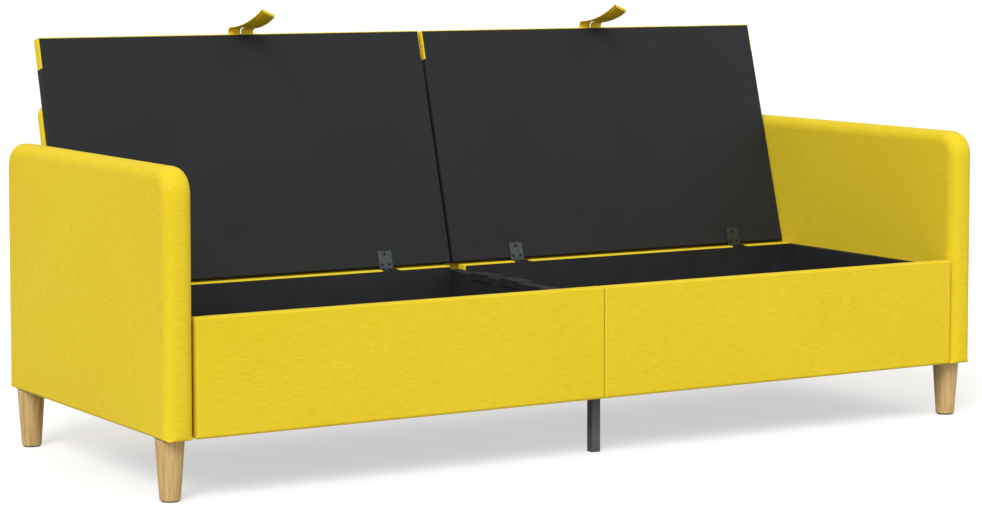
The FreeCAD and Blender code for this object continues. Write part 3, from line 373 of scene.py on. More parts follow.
@dataclass(frozen=True)
class Webbing(Finish):
    """Woven polyester webbing in the cloth's yellow, in herringbone twill.

    The eye sees fine slanting ribs that turn at the middle of the band and at its selvedges.
    """

    rib: float = 0.0022
    chevron: float = 0.008
    dark: str = "#D8B520"
    light: str = "#E8CA30"

    def pattern(self, tree: bpy.types.NodeTree, shader: bpy.types.Node,
                coordinates: bpy.types.NodeSocket) -> None:
        """Add the ribs: stripes along the band whose place swings to and fro across it."""
        parts = add_node(tree, "SeparateXYZ", links={"Vector": coordinates})
        swing = add_node(tree, "Math", {"operation": "PINGPONG", 1: self.chevron},
                         {0: parts.outputs["Y"]})
        place = add_node(tree, "Math", {"operation": "ADD"},
                         {0: parts.outputs["X"], 1: swing.outputs["Value"]})
        turn = add_node(tree, "Math", {"operation": "MULTIPLY", 1: math.tau / self.rib},
                        {0: place.outputs["Value"]})
        wave = add_node(tree, "Math", {"operation": "SINE"}, {0: turn.outputs["Value"]})
        share = add_node(tree, "MapRange", {"From Min": -1.0}, {"Value": wave.outputs["Value"]})
        colour = add_node(tree, "ValToRGB", {"stops": [(0.1, self.dark), (0.7, self.light)]},
                          {"Fac": share.outputs["Result"]})
        tree.links.new(colour.outputs["Color"], shader.inputs["Base Color"])
        bump = add_node(tree, "Bump", {"Strength": 0.5, "Distance": 0.0003},
                        {"Height": share.outputs["Result"]})
        tree.links.new(bump.outputs["Normal"], shader.inputs["Normal"])


LINEN = WovenLinen("yellow_woven_linen", roughness=0.9, ior=1.25, sheen=0.04,
                   layout=Coordinates.CLOTH)
LINING = LiningCloth("black_nonwoven_lining", roughness=0.75, ior=1.3, layout=Coordinates.CLOTH)
WEBBING = Webbing("yellow_herringbone_webbing", roughness=0.8, ior=1.25, layout=Coordinates.CLOTH)
BLACK_BOARD = LinedBoard("black_melamine_paper", roughness=0.65, ior=1.35)
BEECH = Wood("lacquered_beech", roughness=0.45, coat=0.15)
PINE = Wood("sawn_pine", roughness=0.75, grain=Grain.LENGTHWISE, band=0.012, band_length=0.5,
            dark="#C9A56A", body="#DCC08C", light="#E6D0A2", fleck_tone="#B48A50")
POWDER_COAT = Grained("dark_powder_coat", roughness=0.45)
ZINC = Grained("zinc_plated_steel", roughness=0.35, metallic=1.0, dark="#AEB2B5", light="#C6C9CB",
               mottle=0.008, relief_size=0.001, strength=0.1)
HINGE_STEEL = Grained("dark_burnished_hinge_steel", roughness=0.5, metallic=1.0, dark="#43474A",
                      light="#505457", mottle=0.008, relief_size=0.001, strength=0.1)
HINGE_SCREW = Grained("black_oxide_screw_steel", roughness=0.45, metallic=1.0, dark="#1C1E20",
                      light="#26292B", mottle=0.004, relief_size=0.0008, strength=0.1)
SCREW_STEEL = Grained("zinc_plated_screw_steel", roughness=0.3, metallic=1.0, dark="#9DA1A4",
                      light="#B6B9BB", mottle=0.004, relief_size=0.0008, strength=0.1)
PLASTIC = Grained("black_moulded_plastic", roughness=0.5, dark="#1B1C1E", light="#242527",
                  mottle=0.03, relief_size=0.0008)
FELT = Grained("grey_wool_felt", roughness=0.95, sheen=0.3, dark="#5E5A54", light="#77726A",
               mottle=0.004, relief_size=0.0006, relief=0.0004, strength=0.6)


# Surfaces


@dataclass(frozen=True)
class Pose:
    """Where a flat shape's own axes lie: p and q in its plane, n through its thickness."""

    origin: tuple[float, float, float]
    p: tuple[float, float, float]
    q: tuple[float, float, float]
    n: tuple[float, float, float]

    def place(self, points: Array) -> Array:
        """Return points (k, 3) in p, q, n as points in the row frame."""
        return np.array(self.origin) + points @ np.array([self.p, self.q, self.n])


def make_piece(name: str, points: Array, quads: Array, cloth: Array, finish: Finish,
               smooth: bool = True) -> bpy.types.Object:
    """Make a mesh object from points and four-cornered faces, closed and facing outwards.

    Points that coincide are merged, a face that loses a corner becomes a triangle, and one
    that loses more is dropped. The faces turn round if the volume they enclose is negative:
    the sum over the faces' triangles of a . (b x c) / 6.

    Args:
        name: The object's name.
        points: The points (k, 3) in metres.
        quads: Each face's four points (f, 4).
        cloth: Each face corner's place on the cloth (f, 4, 2) in metres.
        finish: The finish.
        smooth: Whether the shading is smooth.

    Returns:
        The new object, linked to the scene.
    """
    rounded = np.round(points, 7)
    _, first, merged = np.unique(rounded, axis=0, return_index=True, return_inverse=True)
    quads = merged.reshape(-1)[quads]
    points = points[first]
    a, b, c, d = (points[quads[:, i]] for i in range(4))
    volume = np.einsum("ij,ij->i", a, np.cross(b, c)) + np.einsum("ij,ij->i", a, np.cross(c, d))
    if volume.sum() < 0:
        quads, cloth = quads[:, ::-1], cloth[:, ::-1]
    kept = quads != np.roll(quads, 1, axis=1)
    corners = kept.sum(axis=1)
    whole = corners > 2
    kept, corners = kept[whole], corners[whole]
    mesh = bpy.data.meshes.new(name)
    mesh.vertices.add(len(points))
    mesh.vertices.foreach_set("co", points.astype(np.float32).ravel())
    mesh.loops.add(int(corners.sum()))
    mesh.loops.foreach_set("vertex_index", quads[whole][kept].astype(np.int32))
    mesh.polygons.add(len(corners))
    mesh.polygons.foreach_set("loop_start", (np.cumsum(corners) - corners).astype(np.int32))
    layer = mesh.uv_layers.new(name="cloth")
    layer.data.foreach_set("uv", cloth[whole][kept].astype(np.float32).ravel())
    mesh.polygons.foreach_set("use_smooth", np.full(len(corners), smooth))
    mesh.validate()
    mesh.update()
    mesh.materials.append(finish.material())
    piece = bpy.data.objects.new(name, mesh)
    bpy.context.scene.collection.objects.link(piece)
    return piece


def grid_quads(rows: int, columns: int, start: int = 0, closed: bool = False) -> Array:
    """Return the faces (f, 4) of a grid of points numbered row by row.

    Args:
        rows: How many rows of points.
        columns: How many points in a row.
        start: The first point's number.
        closed: Whether a row's last point joins its first.

    Returns:
        Each face's four point numbers.
    """
    row = np.arange(rows - 1)[:, None]
    column = np.arange(columns if closed else columns - 1)[None, :]
    after = (column + 1) % columns
    here, beside = row * columns + column, row * columns + after
    quads = np.stack([here, here + columns, beside + columns, beside], axis=-1)
    return quads.reshape(-1, 4) + start


def waves(across: Array, along: Array, length: float, seed: int) -> Array:
    """Return the slow swell of cloth over foam, from about -1 to 1.

    It is the mean of six sine waves, whose directions, lengths and phases come from a seeded
    generator.
    """
    random = np.random.default_rng(seed)
    total = np.zeros_like(across)
    for _ in range(6):
        turn, phase = random.uniform(0, math.tau, 2)
        span = length * random.uniform(0.7, 1.8)
        way = math.cos(turn) * across + math.sin(turn) * along
        total += np.sin(math.tau * way / span + phase)
    return total / 3


@dataclass(frozen=True)
class Slab:
    """A padded slab: a rectangle with rounded corners, given thickness, with a rounded rim.

    It lies in p and q, with n through its thickness, in millimetres. The sides are numbered
    low q, high p, high q, low p, and corner i lies before side i. Each side has its own rim
    radius at the upper and the lower face, and each face may swell by a puff in the middle.
    """

    p: tuple[float, float]
    q: tuple[float, float]
    n: tuple[float, float]
    corners: Sides
    upper: Sides
    lower: Sides
    puff: tuple[float, float] = (0.0, 0.0)
    swell: float = 0.0
    swell_length: float = 260.0
    crown: float = 60.0
    seed: int = 1
    step: float = 9.0
    stops: tuple[float, ...] = ()

    def _stops(self, low: float, high: float, margins: tuple[float, float],
               extra: tuple[float, ...] = ()) -> Array:
        """Return the fixed places along a side, between its corners."""
        start, end = low + margins[0], high - margins[1]
        count = max(2, round((end - start) / self.step))
        spots = np.linspace(start, end, count + 1)[1:-1]
        return np.unique(np.concatenate([spots, [stop for stop in extra if start < stop < end]]))

    def _loops(self, insets: Array, radii: Array, arc: int) -> tuple[Array, list[int]]:
        """Return rings of the rounded rectangle.

        Each ring is the rectangle moved in by one inset for each side. A corner is an arc about
        a centre one radius from both sides, cut at its middle, where one side's points end and
        the next side's begin. The points between the corners keep their place along the side.

        Args:
            insets: Each ring's four insets (rows, 4).
            radii: Each ring's four corner radii (rows, 4).
            arc: How many steps half a corner has.

        Returns:
            The rings (rows, points, 2), and the number of the first point of each side.
        """
        low_q, high_p, high_q, low_p = (
            self.q[0] + insets[:, 0], self.p[1] - insets[:, 1],
            self.q[1] - insets[:, 2], self.p[0] + insets[:, 3])
        edge_p = (low_p, high_p, high_p, low_p)
        edge_q = (low_q, low_q, high_q, high_q)
        signs = ((1, 1), (-1, 1), (-1, -1), (1, -1))
        rims = zip(self.upper, self.lower, self.corners)
        margin = max(max(upper, lower) + corner for upper, lower, corner in rims) + self.step / 2
        margins = (min(margin, (self.p[1] - self.p[0]) / 4),) * 2
        spots_p = self._stops(*self.p, margins, self.stops)
        margins = (min(margin, (self.q[1] - self.q[0]) / 4),) * 2
        spots_q = self._stops(*self.q, margins)
        between = (spots_p, spots_q, spots_p[::-1], spots_q[::-1])
        parts, starts, count = [], [], 0
        for side in range(4):
            for corner, begin in ((side, 45.0), (side + 1, 0.0)):
                i = corner % 4
                turns = np.radians(180 + 90 * corner + begin + np.linspace(0, 45, arc + 1))
                if begin == 0.0:
                    fixed = np.repeat(between[side][None, :], len(insets), axis=0)
                    moving = (low_q, high_p, high_q, low_p)[side][:, None] + np.zeros_like(fixed)
                    pair = (fixed, moving) if side % 2 == 0 else (moving, fixed)
                    parts.append(np.stack(pair, axis=-1))
                    count += fixed.shape[1]
                    turns = turns[:-1]
                else:
                    starts.append(count)
                centre_p = edge_p[i] + signs[i][0] * radii[:, i]
                centre_q = edge_q[i] + signs[i][1] * radii[:, i]
                ring_p = centre_p[:, None] + radii[:, i][:, None] * np.cos(turns)
                ring_q = centre_q[:, None] + radii[:, i][:, None] * np.sin(turns)
                parts.append(np.stack([ring_p, ring_q], axis=-1))
                count += len(turns)
        return np.concatenate(parts, axis=1), starts

    def _side_values(self, values: Sides, starts: list[int], total: int, arc: int) -> Array:
        """Return a value for each point of a ring: its side's own, blended round the corners."""
        ends = starts[1:] + [total]
        out = np.empty(total)
        for side, (start, end) in enumerate(zip(starts, ends)):
            before, here, after = values[side - 1], values[side], values[(side + 1) % 4]
            out[start:end] = here
            share = 0.5 + np.linspace(0, 0.5, arc + 1)
            out[start:start + arc + 1] = before + (here - before) * share ** 2 * (3 - 2 * share)
            share = np.linspace(0, 0.5, arc + 1)[:-1]
            out[end - arc:end] = here + (after - here) * share ** 2 * (3 - 2 * share)
        return out

    def _face(self, ring: Array, starts: list[int], level: float, puff: float, sign: int,
              seed: int) -> tuple[Array, int, int]:
        """Return one face as a grid of points that fits the ring round it.

        The grid is a Coons patch: the sum of the blend between the lower and upper sides and
        the blend between the left and right sides, less the blend of the four corners. Its
        height is the level plus the puff times tanh(distance to the nearest p side / crown)
        times the same for q, plus the slow swell.

        Returns:
            The points (k, 3), and the numbers of rows and columns.
        """
        closed = np.concatenate([ring, ring[:1]])
        ends = starts[1:] + [len(ring)]
        low, right, high, left = (closed[a:b + 1] for a, b in zip(starts, ends))
        high, left = high[::-1], left[::-1]
        u = ((low[:, 0] - low[0, 0]) / (low[-1, 0] - low[0, 0]))[None, :, None]
        v = ((left[:, 1] - left[0, 1]) / (left[-1, 1] - left[0, 1]))[:, None, None]
        flat = (1 - v) * low[None] + v * high[None] + (1 - u) * left[:, None] + u * right[:, None]
        flat = flat - (1 - u) * (1 - v) * low[0] - u * (1 - v) * low[-1]
        flat = flat - (1 - u) * v * high[0] - u * v * high[-1]
        p, q = flat[..., 0], flat[..., 1]
        near_p = np.minimum(p - ring[:, 0].min(), ring[:, 0].max() - p).clip(0)
        near_q = np.minimum(q - ring[:, 1].min(), ring[:, 1].max() - q).clip(0)
        crown = np.tanh(near_p / self.crown) * np.tanh(near_q / self.crown)
        rise = crown * (puff + self.swell * waves(p, q, self.swell_length, seed))
        for border in (rise[0], rise[-1], rise[:, 0], rise[:, -1]):
            border[:] = 0
        points = np.concatenate([flat, (level + sign * rise)[..., None]], axis=-1)
        return points.reshape(-1, 3), flat.shape[0], flat.shape[1]

    def surface(self, turns: int = 6, arc: int = 4) -> tuple[Array, Array]:
        """Work out the closed surface.

        The rim's rings follow a quarter round at the upper face, a flat, and a quarter round
        at the lower face. At angle a of a round, a ring is moved in by r (1 - sin a) and lies
        r (1 - cos a) below its face, where r is that side's rim radius.

        Args:
            turns: How many steps a rim round has.
            arc: How many steps half a corner has.

        Returns:
            The points (k, 3) in p, q, n, and the faces (f, 4).
        """
        angle = np.linspace(0, math.pi / 2, turns + 1)
        inward, down = 1 - np.sin(angle), 1 - np.cos(angle)
        rows = np.concatenate([inward[:, None] * np.array(self.upper),
                               inward[::-1, None] * np.array(self.lower)])
        shrink = (np.roll(rows, 1, axis=1) + rows) / 2
        radii = np.maximum(np.array(self.corners) - shrink, np.minimum(self.corners, 0.6))
        rings, starts = self._loops(rows, radii, arc)
        total = rings.shape[1]
        upper = self._side_values(self.upper, starts, total, arc)
        lower = self._side_values(self.lower, starts, total, arc)
        heights = np.concatenate([self.n[1] - down[:, None] * upper,
                                  self.n[0] + down[::-1, None] * lower])
        band = np.concatenate([rings, heights[..., None]], axis=-1)
        top, rows_top, columns = self._face(rings[0], starts, self.n[1], self.puff[1], 1, self.seed)
        foot, rows_foot, _ = self._face(rings[-1], starts, self.n[0], self.puff[0], -1,
                                        self.seed + 7)
        points = np.concatenate([band.reshape(-1, 3), top, foot])
        first = len(band) * total
        quads = np.concatenate([
            grid_quads(len(band), total, 0, closed=True),
            grid_quads(rows_top, columns, first)[:, ::-1],
            grid_quads(rows_foot, columns, first + len(top)),
        ])
        return points, quads


def cloth_places(points: Array, quads: Array, lengthwise: bool) -> Array:
    """Lay the cloth on a slab's faces, so that its weft runs level.

    A face takes the two coordinates across its main direction. On the two faces it is p and
    q, on the p sides n and q, and on the q sides p and n.

    Args:
        points: The points (k, 3) in p, q, n in millimetres.
        quads: Each face's four points.
        lengthwise: Whether the weft follows p. It follows q otherwise.

    Returns:
        Each face corner's place on the cloth (f, 4, 2) in metres.
    """
    corners = points[quads]
    across = np.cross(corners[:, 2] - corners[:, 0], corners[:, 3] - corners[:, 1])
    main = np.abs(across).argmax(axis=1)
    pairs = np.array([(2, 1), (0, 2), (0, 1)])[main]
    places = np.take_along_axis(corners, pairs[:, None, :].repeat(4, axis=1), axis=2) * MM
    return places if lengthwise else places[..., ::-1]


@dataclass(frozen=True)
class Upholstery:
    """One upholstered piece: its slab, its place, and the solids that it stands for."""

    name: str
    slab: Slab
    pose: Pose
    body: str
    nodes: tuple[str, ...]
    slot: str
    finish: Finish = LINEN
    fill: float = 0.8
    reshape: Callable[[Array], Array] | None = None

    def make(self) -> bpy.types.Object:
        points, quads = self.slab.surface()
        if self.reshape is not None:
            points = self.reshape(points)
        cloth = cloth_places(points, quads, True)
        piece = make_piece(self.name, self.pose.place(points * MM), quads, cloth, self.finish)
        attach(piece, self.body)
        if self.nodes:
            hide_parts(*self.nodes)
        LOG.info("%s: %d faces", self.name, len(piece.data.polygons))
        return piece


def reach(node: str, axis: int) -> tuple[float, float]:
    """Return a node's lowest and highest place along an axis, in millimetres."""
    low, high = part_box(node)
    return low[axis] / MM, high[axis] / MM


# Sub-assemblies


@dataclass(frozen=True)
class Arms:
    """The two padded slab arms, each in one cloth cover with a full round rim."""

    corner: float = 55.0
    rim: float = 26.0
    foot: float = 8.0
    puff: float = 2.0
    swell: float = 0.5

    def build(self) -> None:
        """Make both arm covers. The upper face of each slab is the arm's outer face."""
        for side, outward in (("left", -1.0), ("right", 1.0)):
            node = f"{side}_arm_cover"
            low, high = sorted(outward * place for place in reach(node, 0))
            base, top = reach(node, 2)
            rims = (self.foot, self.rim, self.rim, self.rim)
            slab = Slab(p=reach(node, 1), q=(base - 0.4, top), n=(low, high),
                        corners=(self.foot, self.foot, self.corner, self.corner),
                        upper=rims, lower=rims, puff=(0.0, self.puff), swell=self.swell,
                        seed=11 if side == "left" else 12)
            pose = Pose((0, 0, 0), (0, 1, 0), (0, 0, 1), (outward, 0, 0))
            Upholstery(f"{side}_arm_upholstery", slab, pose, "frame", (node,),
                       "yellow_fabric", reshape=self.hold_inside(slab)).make()

    @staticmethod
    def hold_inside(slab: Slab) -> Callable[[Array], Array]:
        """Return a move that keeps the swell of an arm's inner face on the foam's face."""
        def held(points: Array) -> Array:
            """Lift what swells past the inner face back onto it."""
            points[:, 2] = np.maximum(points[:, 2], slab.n[0])
            return points
        return held


@dataclass(frozen=True)
class Rails:
    """The padded rails round the box: the front one in two halves, the back one notched."""

    edge: float = 3.5
    roll: float = 7.0
    rear_roll: float = 14.0
    lining: float = 1.0
    puff: float = 0.8
    notch: float = 52.0
    notch_depth: float = 5.5
    hinges: tuple[float, float] = (184.0, 840.0)

    def build(self) -> None:
        """Make the four rail covers. The upper face of each slab is the rail's outer face."""
        for side, sign in (("left", -1.0), ("right", 1.0)):
            for rail, outward in (("front", -1.0), ("back", 1.0)):
                self._half(rail, side, outward, [sign * spot for spot in self.hinges])

    def _half(self, rail: str, side: str, outward: float, hinges: list[float]) -> None:
        """Make one half of a rail, whose inner face lies behind its lining sheet."""
        node = f"{rail}_rail_{side}_cover"
        low, high = sorted(outward * place for place in reach(node, 1))
        top = reach(node, 2)[1]
        notches = []
        if rail == "back":
            notches = [(spot - self.notch / 2, spot + self.notch / 2) for spot in hinges]
        stops = tuple(edge + shift for pair in notches for edge, shifts in
                      zip(pair, ((-2, -0.1, 0, 2), (-2, 0, 0.1, 2))) for shift in shifts)
        slab = Slab(p=reach(node, 0), q=reach(node, 2), n=(low + self.lining, high),
                    corners=(self.edge,) * 4,
                    upper=(self.roll, self.edge, self.edge if rail == "front" else self.rear_roll,
                           self.edge),
                    lower=(self.edge,) * 4, puff=(0.0, self.puff), swell=0.25, step=8.0,
                    seed=len(side) + (30 if rail == "front" else 40), stops=stops)

        def cut(points: Array) -> Array:
            """Lower the cloth to the board's top in the notches."""
            for start, end in notches:
                inside = (points[:, 0] > start - 0.01) & (points[:, 0] < end + 0.01)
                limit = np.where(inside, top - self.notch_depth, top)
                points[:, 1] = np.minimum(points[:, 1], limit)
            return points

        pose = Pose((0, 0, 0), (1, 0, 0), (0, 0, 1), (0, outward, 0))
        Upholstery(f"{rail}_rail_{side}_upholstery", slab, pose, "frame", (node,),
                   "yellow_fabric", reshape=cut).make()


@dataclass(frozen=True)
class LeaningFrame:
    """The plane that the open lids and the backrest lie in, about the hinge axis."""

    hinge_y: float
    hinge_z: float
    angle: float

    @classmethod
    def read(cls, joints: list[dict[str, Any]]) -> "LeaningFrame":
        """Take the axis and the open angle from the lids' joint."""
        joint = joints[0]
        return cls(joint["pos_m"][1], joint["pos_m"][2], math.radians(max(joint["range_deg"])))

    def pose(self) -> Pose:
        """Return the axes: p along the sofa, q up the leaning plane, n through it."""
        slope, rise = math.cos(self.angle), math.sin(self.angle)
        return Pose((0, self.hinge_y, self.hinge_z), (1, 0, 0), (0, -slope, rise), (0, rise, slope))


@dataclass(frozen=True)
class Backrest:
    """Two padded panels behind the open lids, each with a rounded outer top corner."""

    frame: LeaningFrame
    face: float = 29.9
    thickness: float = 28.0
    drop: float = 60.0
    reach: float = 437.0
    corner: float = 30.0
    rim: float = 9.0

    def build(self) -> None:
        """Make both panels. The upper face of each slab is the backrest's rear face."""
        for side in ("left", "right"):
            node = f"backrest_{side}_cover"
            high = (1.5, 1.5, 1.5, self.corner) if side == "left" else (1.5, 1.5, self.corner, 1.5)
            slab = Slab(p=reach(node, 0), q=(-self.drop, self.reach),
                        n=(self.face, self.face + self.thickness), corners=high,
                        upper=(self.rim,) * 4, lower=(self.rim,) * 4,
                        puff=(0.0, 2.0), swell=0.4, seed=21 if side == "left" else 22)
            Upholstery(f"backrest_{side}_upholstery", slab, self.frame.pose(), "frame",
                       (node,), "yellow_fabric", reshape=self.hold_front).make()

    def hold_front(self, points: Array) -> Array:
        """Keep the front face's swell off the open lids."""
        points[:, 2] = np.maximum(points[:, 2], self.face)
        return points


@dataclass(frozen=True)
class PullStrap:
    """A folded loop of webbing at a lid's free edge, in the lid's own coordinates.

    One leg leaves the edge, turns down in an arc, and runs to the fold along a parabola
    through its reach at the arc, half-way and at the fold. The webbing turns over there and
    runs back to its second foot. It leans by the tilt times the square of the way.
    """

    middle: float
    edge: float
    lift: float
    width: float = 32.0
    cloth: float = 2.0
    feet: float = 34.0
    lean: float = 14.0
    drop: float = 122.0
    bend: float = 12.0
    waist: float = 8.0
    reach: float = 20.0
    space: float = 0.5
    foot: float = 2.0
    tilt: float = 24.7
    slot: float = 5.0

    def _leg(self, foot: float, foot_lift: float, near: float) -> tuple[Array, Array]:
        """Return a leg's centre points (k, 3), as x, way from the axis and height, and its leans."""
        level = self.lift + self.foot
        start, radius = self.edge + self.cloth / 2, self.bend - foot_lift
        turn = np.radians(np.linspace(0, 90, 10))
        arc = np.stack([np.full(10, self.middle + foot), start + radius * np.sin(turn),
                        level - radius * (1 - np.cos(turn))], axis=1)
        share = np.linspace(0, 1, 25)[1:]
        ways = ((start + radius) * (1 - share) * (1 - 2 * share)
                + 4 * (self.edge + self.waist - foot_lift) * share * (1 - share)
                + (self.edge + self.reach - near) * share * (2 * share - 1))
        run = np.stack([self.middle + foot + (self.lean - foot) * share, ways,
                        level - radius - (self.drop + level - radius) * share], axis=1)
        leans = np.concatenate([np.zeros(11), np.radians(self.tilt) * share ** 2])
        first = [[self.middle + foot, self.edge - 4.0, level]]
        return np.concatenate([first, arc, run]), leans

    def path(self) -> tuple[Array, Array]:
        """Return the whole loop's centre points (k, 3) and leans (k,)."""
        apart = self.slot + self.cloth
        outer, outer_lean = self._leg(-self.feet / 2, 0.0, 0.0)
        inner, inner_lean = self._leg(self.feet / 2, self.cloth + self.space, apart)
        middle, half = (outer[-1] + inner[-1]) / 2, (outer[-1] - inner[-1]) / 2
        turn = np.radians(np.linspace(0, 180, 15)[1:-1])[:, None]
        fold = middle + half * np.cos(turn) + np.array([[0, 0, -apart / 2]]) * np.sin(turn)
        points = np.concatenate([outer, fold, inner[::-1]])
        leans = np.concatenate([outer_lean, np.full(13, outer_lean[-1]), inner_lean[::-1]])
        return points, leans

    def surface(self) -> tuple[Array, Array, Array]:
        """Work out the webbing: its section carried along the path, closed at both feet.

        The section is a flat oval whose edges are half rounds, with a selvedge rib a little
        thicker than the middle. It stands square to the path without its sideways part.

        Returns:
            The points (k, 3), the faces (f, 4) and the cloth places (f, 4, 2) in metres.
        """
        centre, leans = self.path()
        ways = np.gradient(centre, axis=0)
        ways[:, 0] = 0
        ways /= np.linalg.norm(ways, axis=1)[:, None]
        wide = np.stack([np.cos(leans), -np.sin(leans), np.zeros_like(leans)], axis=1)
        through = np.cross(ways, wide)
        through /= np.linalg.norm(through, axis=1)[:, None]
        half, radius = self.width / 2, self.cloth / 2
        across = np.linspace(-1, 1, 13) * (half - radius)
        rib = 1 + 0.15 * np.exp(-((np.abs(across) - half + 2.5) / 1.2) ** 2)
        round_end = np.radians(np.linspace(90, -90, 7)[1:-1])
        end_across, end_through = radius * np.cos(round_end), radius * np.sin(round_end)
        section = np.concatenate([
            np.stack([across, radius * rib], axis=1),
            np.stack([half - radius + end_across, end_through], axis=1),
            np.stack([across[::-1], -radius * rib], axis=1),
            np.stack([radius - half - end_across, -end_through], axis=1)])
        rings = (centre[:, None] + section[None, :, :1] * wide[:, None]
                 + section[None, :, 1:] * through[:, None])
        count = len(section)
        points = rings.reshape(-1, 3)
        quads = grid_quads(len(centre), count, 0, closed=True)
        length = np.concatenate([[0], np.cumsum(np.linalg.norm(np.diff(centre, axis=0), axis=1))])
        places = np.stack(np.broadcast_arrays(length[:, None], section[None, :, 0]), axis=-1)
        cloth = places.reshape(-1, 2)[quads] * MM
        caps = []
        for first, order in ((0, 1), (len(points) - count, -1)):
            pairs = np.arange((count - 2) // 2)
            low, high = pairs + 1, count - 1 - pairs
            cap = np.stack([(low - 1) % count, low, high - 1, high % count], axis=1)[:, ::order]
            caps.append(cap + first)
        quads = np.concatenate([quads, *caps])
        cloth = np.concatenate([cloth, *(points[cap][..., :2] * MM for cap in caps)])
        return points, quads, cloth


@dataclass(frozen=True)
class Lids:
    """The two lift-up seats: a black sleeve, a yellow front, a lining sheet and a strap."""

    frame: LeaningFrame
    rear: float = 4.5
    length: float = 577.0
    lift: float = 0.4
    thickness: float = 29.0
    wrap: float = 72.0
    under_edge: float = 2.5
    seat_edge: float = 5.0
    seam_edge: float = 0.3
    sheet_inset: float = 2.5
    sheet_level: tuple[float, float] = (-0.25, 0.5)
    straps: tuple[float, float] = (-485.0, 502.0)

    def build(self) -> None:
        """Make both lids' covers and straps."""
        for side, middle in zip(("left", "right"), self.straps):
            self._covers(side)
            self._strap(side, middle)

    def _covers(self, side: str) -> None:
        """Make a lid's sleeve, its yellow front, and the sheet of lining under both."""
        body, pose = f"{side}_lid", self.frame.pose()
        across = reach(f"{side}_lid_cover", 0)
        end = self.rear + self.length
        seam = end - self.wrap
        low, high = self.lift, self.lift + self.thickness
        sharp, under, seat = self.seam_edge, self.under_edge, self.seat_edge
        sleeve = Slab(p=across, q=(self.rear, seam), n=(low, high),
                      corners=(under, under, sharp, sharp), upper=(seat, seat, sharp, seat),
                      lower=(under, under, sharp, under), puff=(0.0, 0.0), swell=0.0,
                      seed=51, step=12.0)
        Upholstery(f"{side}_lid_sleeve", sleeve, pose, body,
                   (f"{side}_lid_cover", f"{side}_lid_pad"), "black_lining_cloth", LINING).make()
        front = Slab(p=across, q=(seam, end), n=(low, high),
                     corners=(sharp, sharp, under, under), upper=(sharp, seat, seat, seat),
                     lower=(sharp, under, under, under), seed=52, step=9.0)
        Upholstery(f"{side}_lid_front_upholstery", front, pose, body,
                   (f"{side}_lid_front_wrap",), "yellow_fabric").make()
        inset = self.sheet_inset
        flap = Slab(p=(across[0] + inset, across[1] - inset), q=(self.rear + inset, end - inset),
                    n=(low + self.sheet_level[0], low + self.sheet_level[1]),
                    corners=(1.0,) * 4, upper=(0.3,) * 4, lower=(0.25,) * 4, seed=53, step=12.0)
        Upholstery(f"{side}_lid_lining_flap", flap, pose, body, (), "black_lining_cloth",
                   LINING, fill=0.0).make()

    def _strap(self, side: str, middle: float) -> None:
        """Make a lid's pull strap."""
        strap = PullStrap(middle, self.rear + self.length, self.lift)
        points, quads, cloth = strap.surface()
        name = f"{side}_pull_loop"
        piece = make_piece(name, self.frame.pose().place(points * MM), quads, cloth, WEBBING)
        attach(piece, f"{side}_lid")
        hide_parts(f"{side}_pull_strap")
        LOG.info("%s: %d faces", name, len(piece.data.polygons))


@dataclass(frozen=True)
class Hardware:
    """The solids that keep their shape: legs, boards, brackets, hinges and fasteners."""

    nodes: dict[str, bpy.types.Object]

    FINISHES = {
        BEECH: ("front_left_leg", "front_right_leg", "rear_left_leg", "rear_right_leg"),
        FELT: ("leg_glides",),
        PINE: ("arm_boards", "back_rail_left_board", "back_rail_right_board", "backrest_left_frame",
               "backrest_right_frame", "centre_bearer", "floor_battens", "front_rail_boards",
               "left_arm_frame", "left_lid_board", "right_arm_frame", "right_lid_board",
               "wedge_blocks"),
        BLACK_BOARD: ("back_rail_linings", "divider", "floor_panels", "front_rail_linings",
                      "side_boards"),
        POWDER_COAT: ("corner_brackets", "divider_brackets", "support_leg"),
        PLASTIC: ("rest_blocks", "support_leg_cap"),
        HINGE_STEEL: ("hinge_rail_leaves", "left_hinge_leaves", "right_hinge_leaves"),
        HINGE_SCREW: ("hinge_rail_screws", "left_hinge_screws", "right_hinge_screws"),
        ZINC: ("leg_plates",),
        SCREW_STEEL: ("arm_screws", "backrest_bolts", "frame_screws", "hinge_pins", "leg_bolts",
                      "support_leg_screws"),
    }

    def build(self) -> None:
        """Give each kept solid its finish."""
        for finish, names in self.FINISHES.items():
            material = finish.material()
            for name in names:
                solid = self.nodes[name]
                solid.data.materials.clear()
                solid.data.materials.append(material)
            LOG.info("%s: %s", finish.name, ", ".join(names))


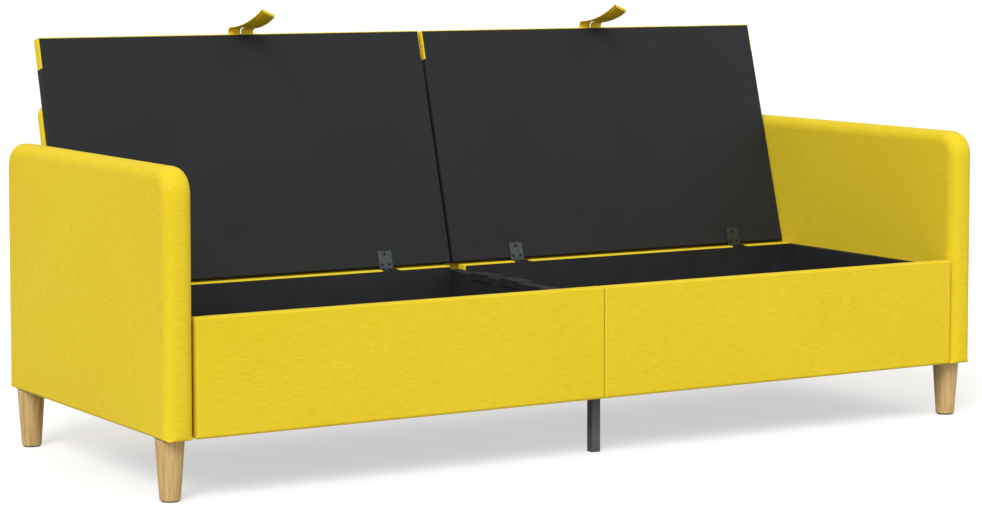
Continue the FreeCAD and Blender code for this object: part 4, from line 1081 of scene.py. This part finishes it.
@dataclass(frozen=True)
class Studio:
    """A pale floor, a broad soft sun from the upper left, a weak fill, and the camera."""

    eye: tuple[float, float, float] = (-3.4354, -5.5774, 1.1432)
    yaw: float = 31.375
    pitch: float = 4.384
    lens: float = 103.03
    shift: float = -0.1
    floor_size: float = 80.0
    floor_tone: str = "#BDBDBD"
    floor_glow: float = 0.55
    sky: float = 0.6
    key: float = 2.3
    key_spread: float = 30.0
    key_turn: tuple[float, float, float] = (50.0, 0.0, -48.0)
    fill: float = 0.6
    fill_spread: float = 90.0
    fill_turn: tuple[float, float, float] = (62.0, 0.0, 40.0)

    def build(self) -> None:
        """Make the floor, the lights, the sky and the camera."""
        scene = bpy.context.scene
        scene.view_settings.view_transform = "Standard"
        self._camera(scene)
        self._lights(scene)
        self._floor()
        LOG.info("studio")

    def _camera(self, scene: bpy.types.Scene) -> None:
        """Make the camera at the picture's viewpoint."""
        data = bpy.data.cameras.new("camera")
        data.lens, data.sensor_width, data.shift_y = self.lens, 36.0, self.shift
        camera = bpy.data.objects.new("camera", data)
        scene.collection.objects.link(camera)
        camera.location = self.eye
        camera.rotation_euler = (math.radians(90 - self.pitch), 0.0, -math.radians(self.yaw))
        scene.camera = camera

    def _lights(self, scene: bpy.types.Scene) -> None:
        """Make two suns, and a sky that is white to the camera and dimmer as a lamp."""
        for name, strength, spread, turn in (
                ("key_sun", self.key, self.key_spread, self.key_turn),
                ("fill_sun", self.fill, self.fill_spread, self.fill_turn)):
            data = bpy.data.lights.new(name, "SUN")
            data.energy, data.angle = strength, math.radians(spread)
            lamp = bpy.data.objects.new(name, data)
            lamp.rotation_euler = [math.radians(angle) for angle in turn]
            scene.collection.objects.link(lamp)
        world = bpy.data.worlds.new("sky")
        scene.world = world
        world.use_nodes = True
        tree = world.node_tree
        tree.nodes.clear()
        path = add_node(tree, "LightPath").outputs
        seen = add_node(tree, "Math", {"operation": "MAXIMUM"},
                        {0: path["Is Camera Ray"], 1: path["Is Glossy Ray"]})
        seen = add_node(tree, "Math", {"operation": "MAXIMUM"},
                        {0: seen.outputs["Value"], 1: path["Is Transmission Ray"]})
        strength = add_node(tree, "MapRange", {"To Min": self.sky, "To Max": 1.0},
                            {"Value": seen.outputs["Value"]})
        back = add_node(tree, "Background", {"Color": (1.0, 1.0, 1.0, 1.0)},
                        {"Strength": strength.outputs["Result"]})
        add_node(tree, "OutputWorld", links={"Surface": back.outputs["Background"]})

    def _floor(self) -> None:
        """Make the floor, which is near white to the camera and keeps the sofa's shadow."""
        half = self.floor_size / 2
        mesh = bpy.data.meshes.new("floor")
        mesh.from_pydata([(-half, -half, 0), (half, -half, 0), (half, half, 0), (-half, half, 0)],
                         [], [(0, 1, 2, 3)])
        floor = bpy.data.objects.new("floor", mesh)
        bpy.context.scene.collection.objects.link(floor)
        material = bpy.data.materials.new("pale_floor")
        material.use_nodes = True
        tree = material.node_tree
        tree.nodes.clear()
        matt = add_node(tree, "BsdfDiffuse", {"Color": linear(self.floor_tone)})
        glow = add_node(tree, "Emission", {"Color": (1.0, 1.0, 1.0, 1.0),
                                           "Strength": self.floor_glow})
        both = add_node(tree, "AddShader",
                        links={0: matt.outputs["BSDF"], 1: glow.outputs["Emission"]})
        path = add_node(tree, "LightPath").outputs
        seen = add_node(tree, "MixShader", links={0: path["Is Camera Ray"], 1: matt.outputs["BSDF"],
                                                  2: both.outputs["Shader"]})
        add_node(tree, "OutputMaterial", links={"Surface": seen.outputs["Shader"]})
        mesh.materials.append(material)


def corners(box: tuple[Any, Any]) -> list[list[float]]:
    """Return a bounding box as plain lists."""
    return [list(corner) for corner in box]


def main() -> None:
    """Load the frame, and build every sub-assembly."""
    logging.basicConfig(level=logging.INFO, format="%(name)s: %(message)s")
    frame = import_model()
    leaning = LeaningFrame.read(frame["joints"])
    Studio().build()
    Arms().build()
    Rails().build()
    Backrest(leaning).build()
    Lids(leaning).build()
    Hardware(frame["nodes"]).build()
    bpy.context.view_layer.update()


if __name__ == "__main__":
    main()
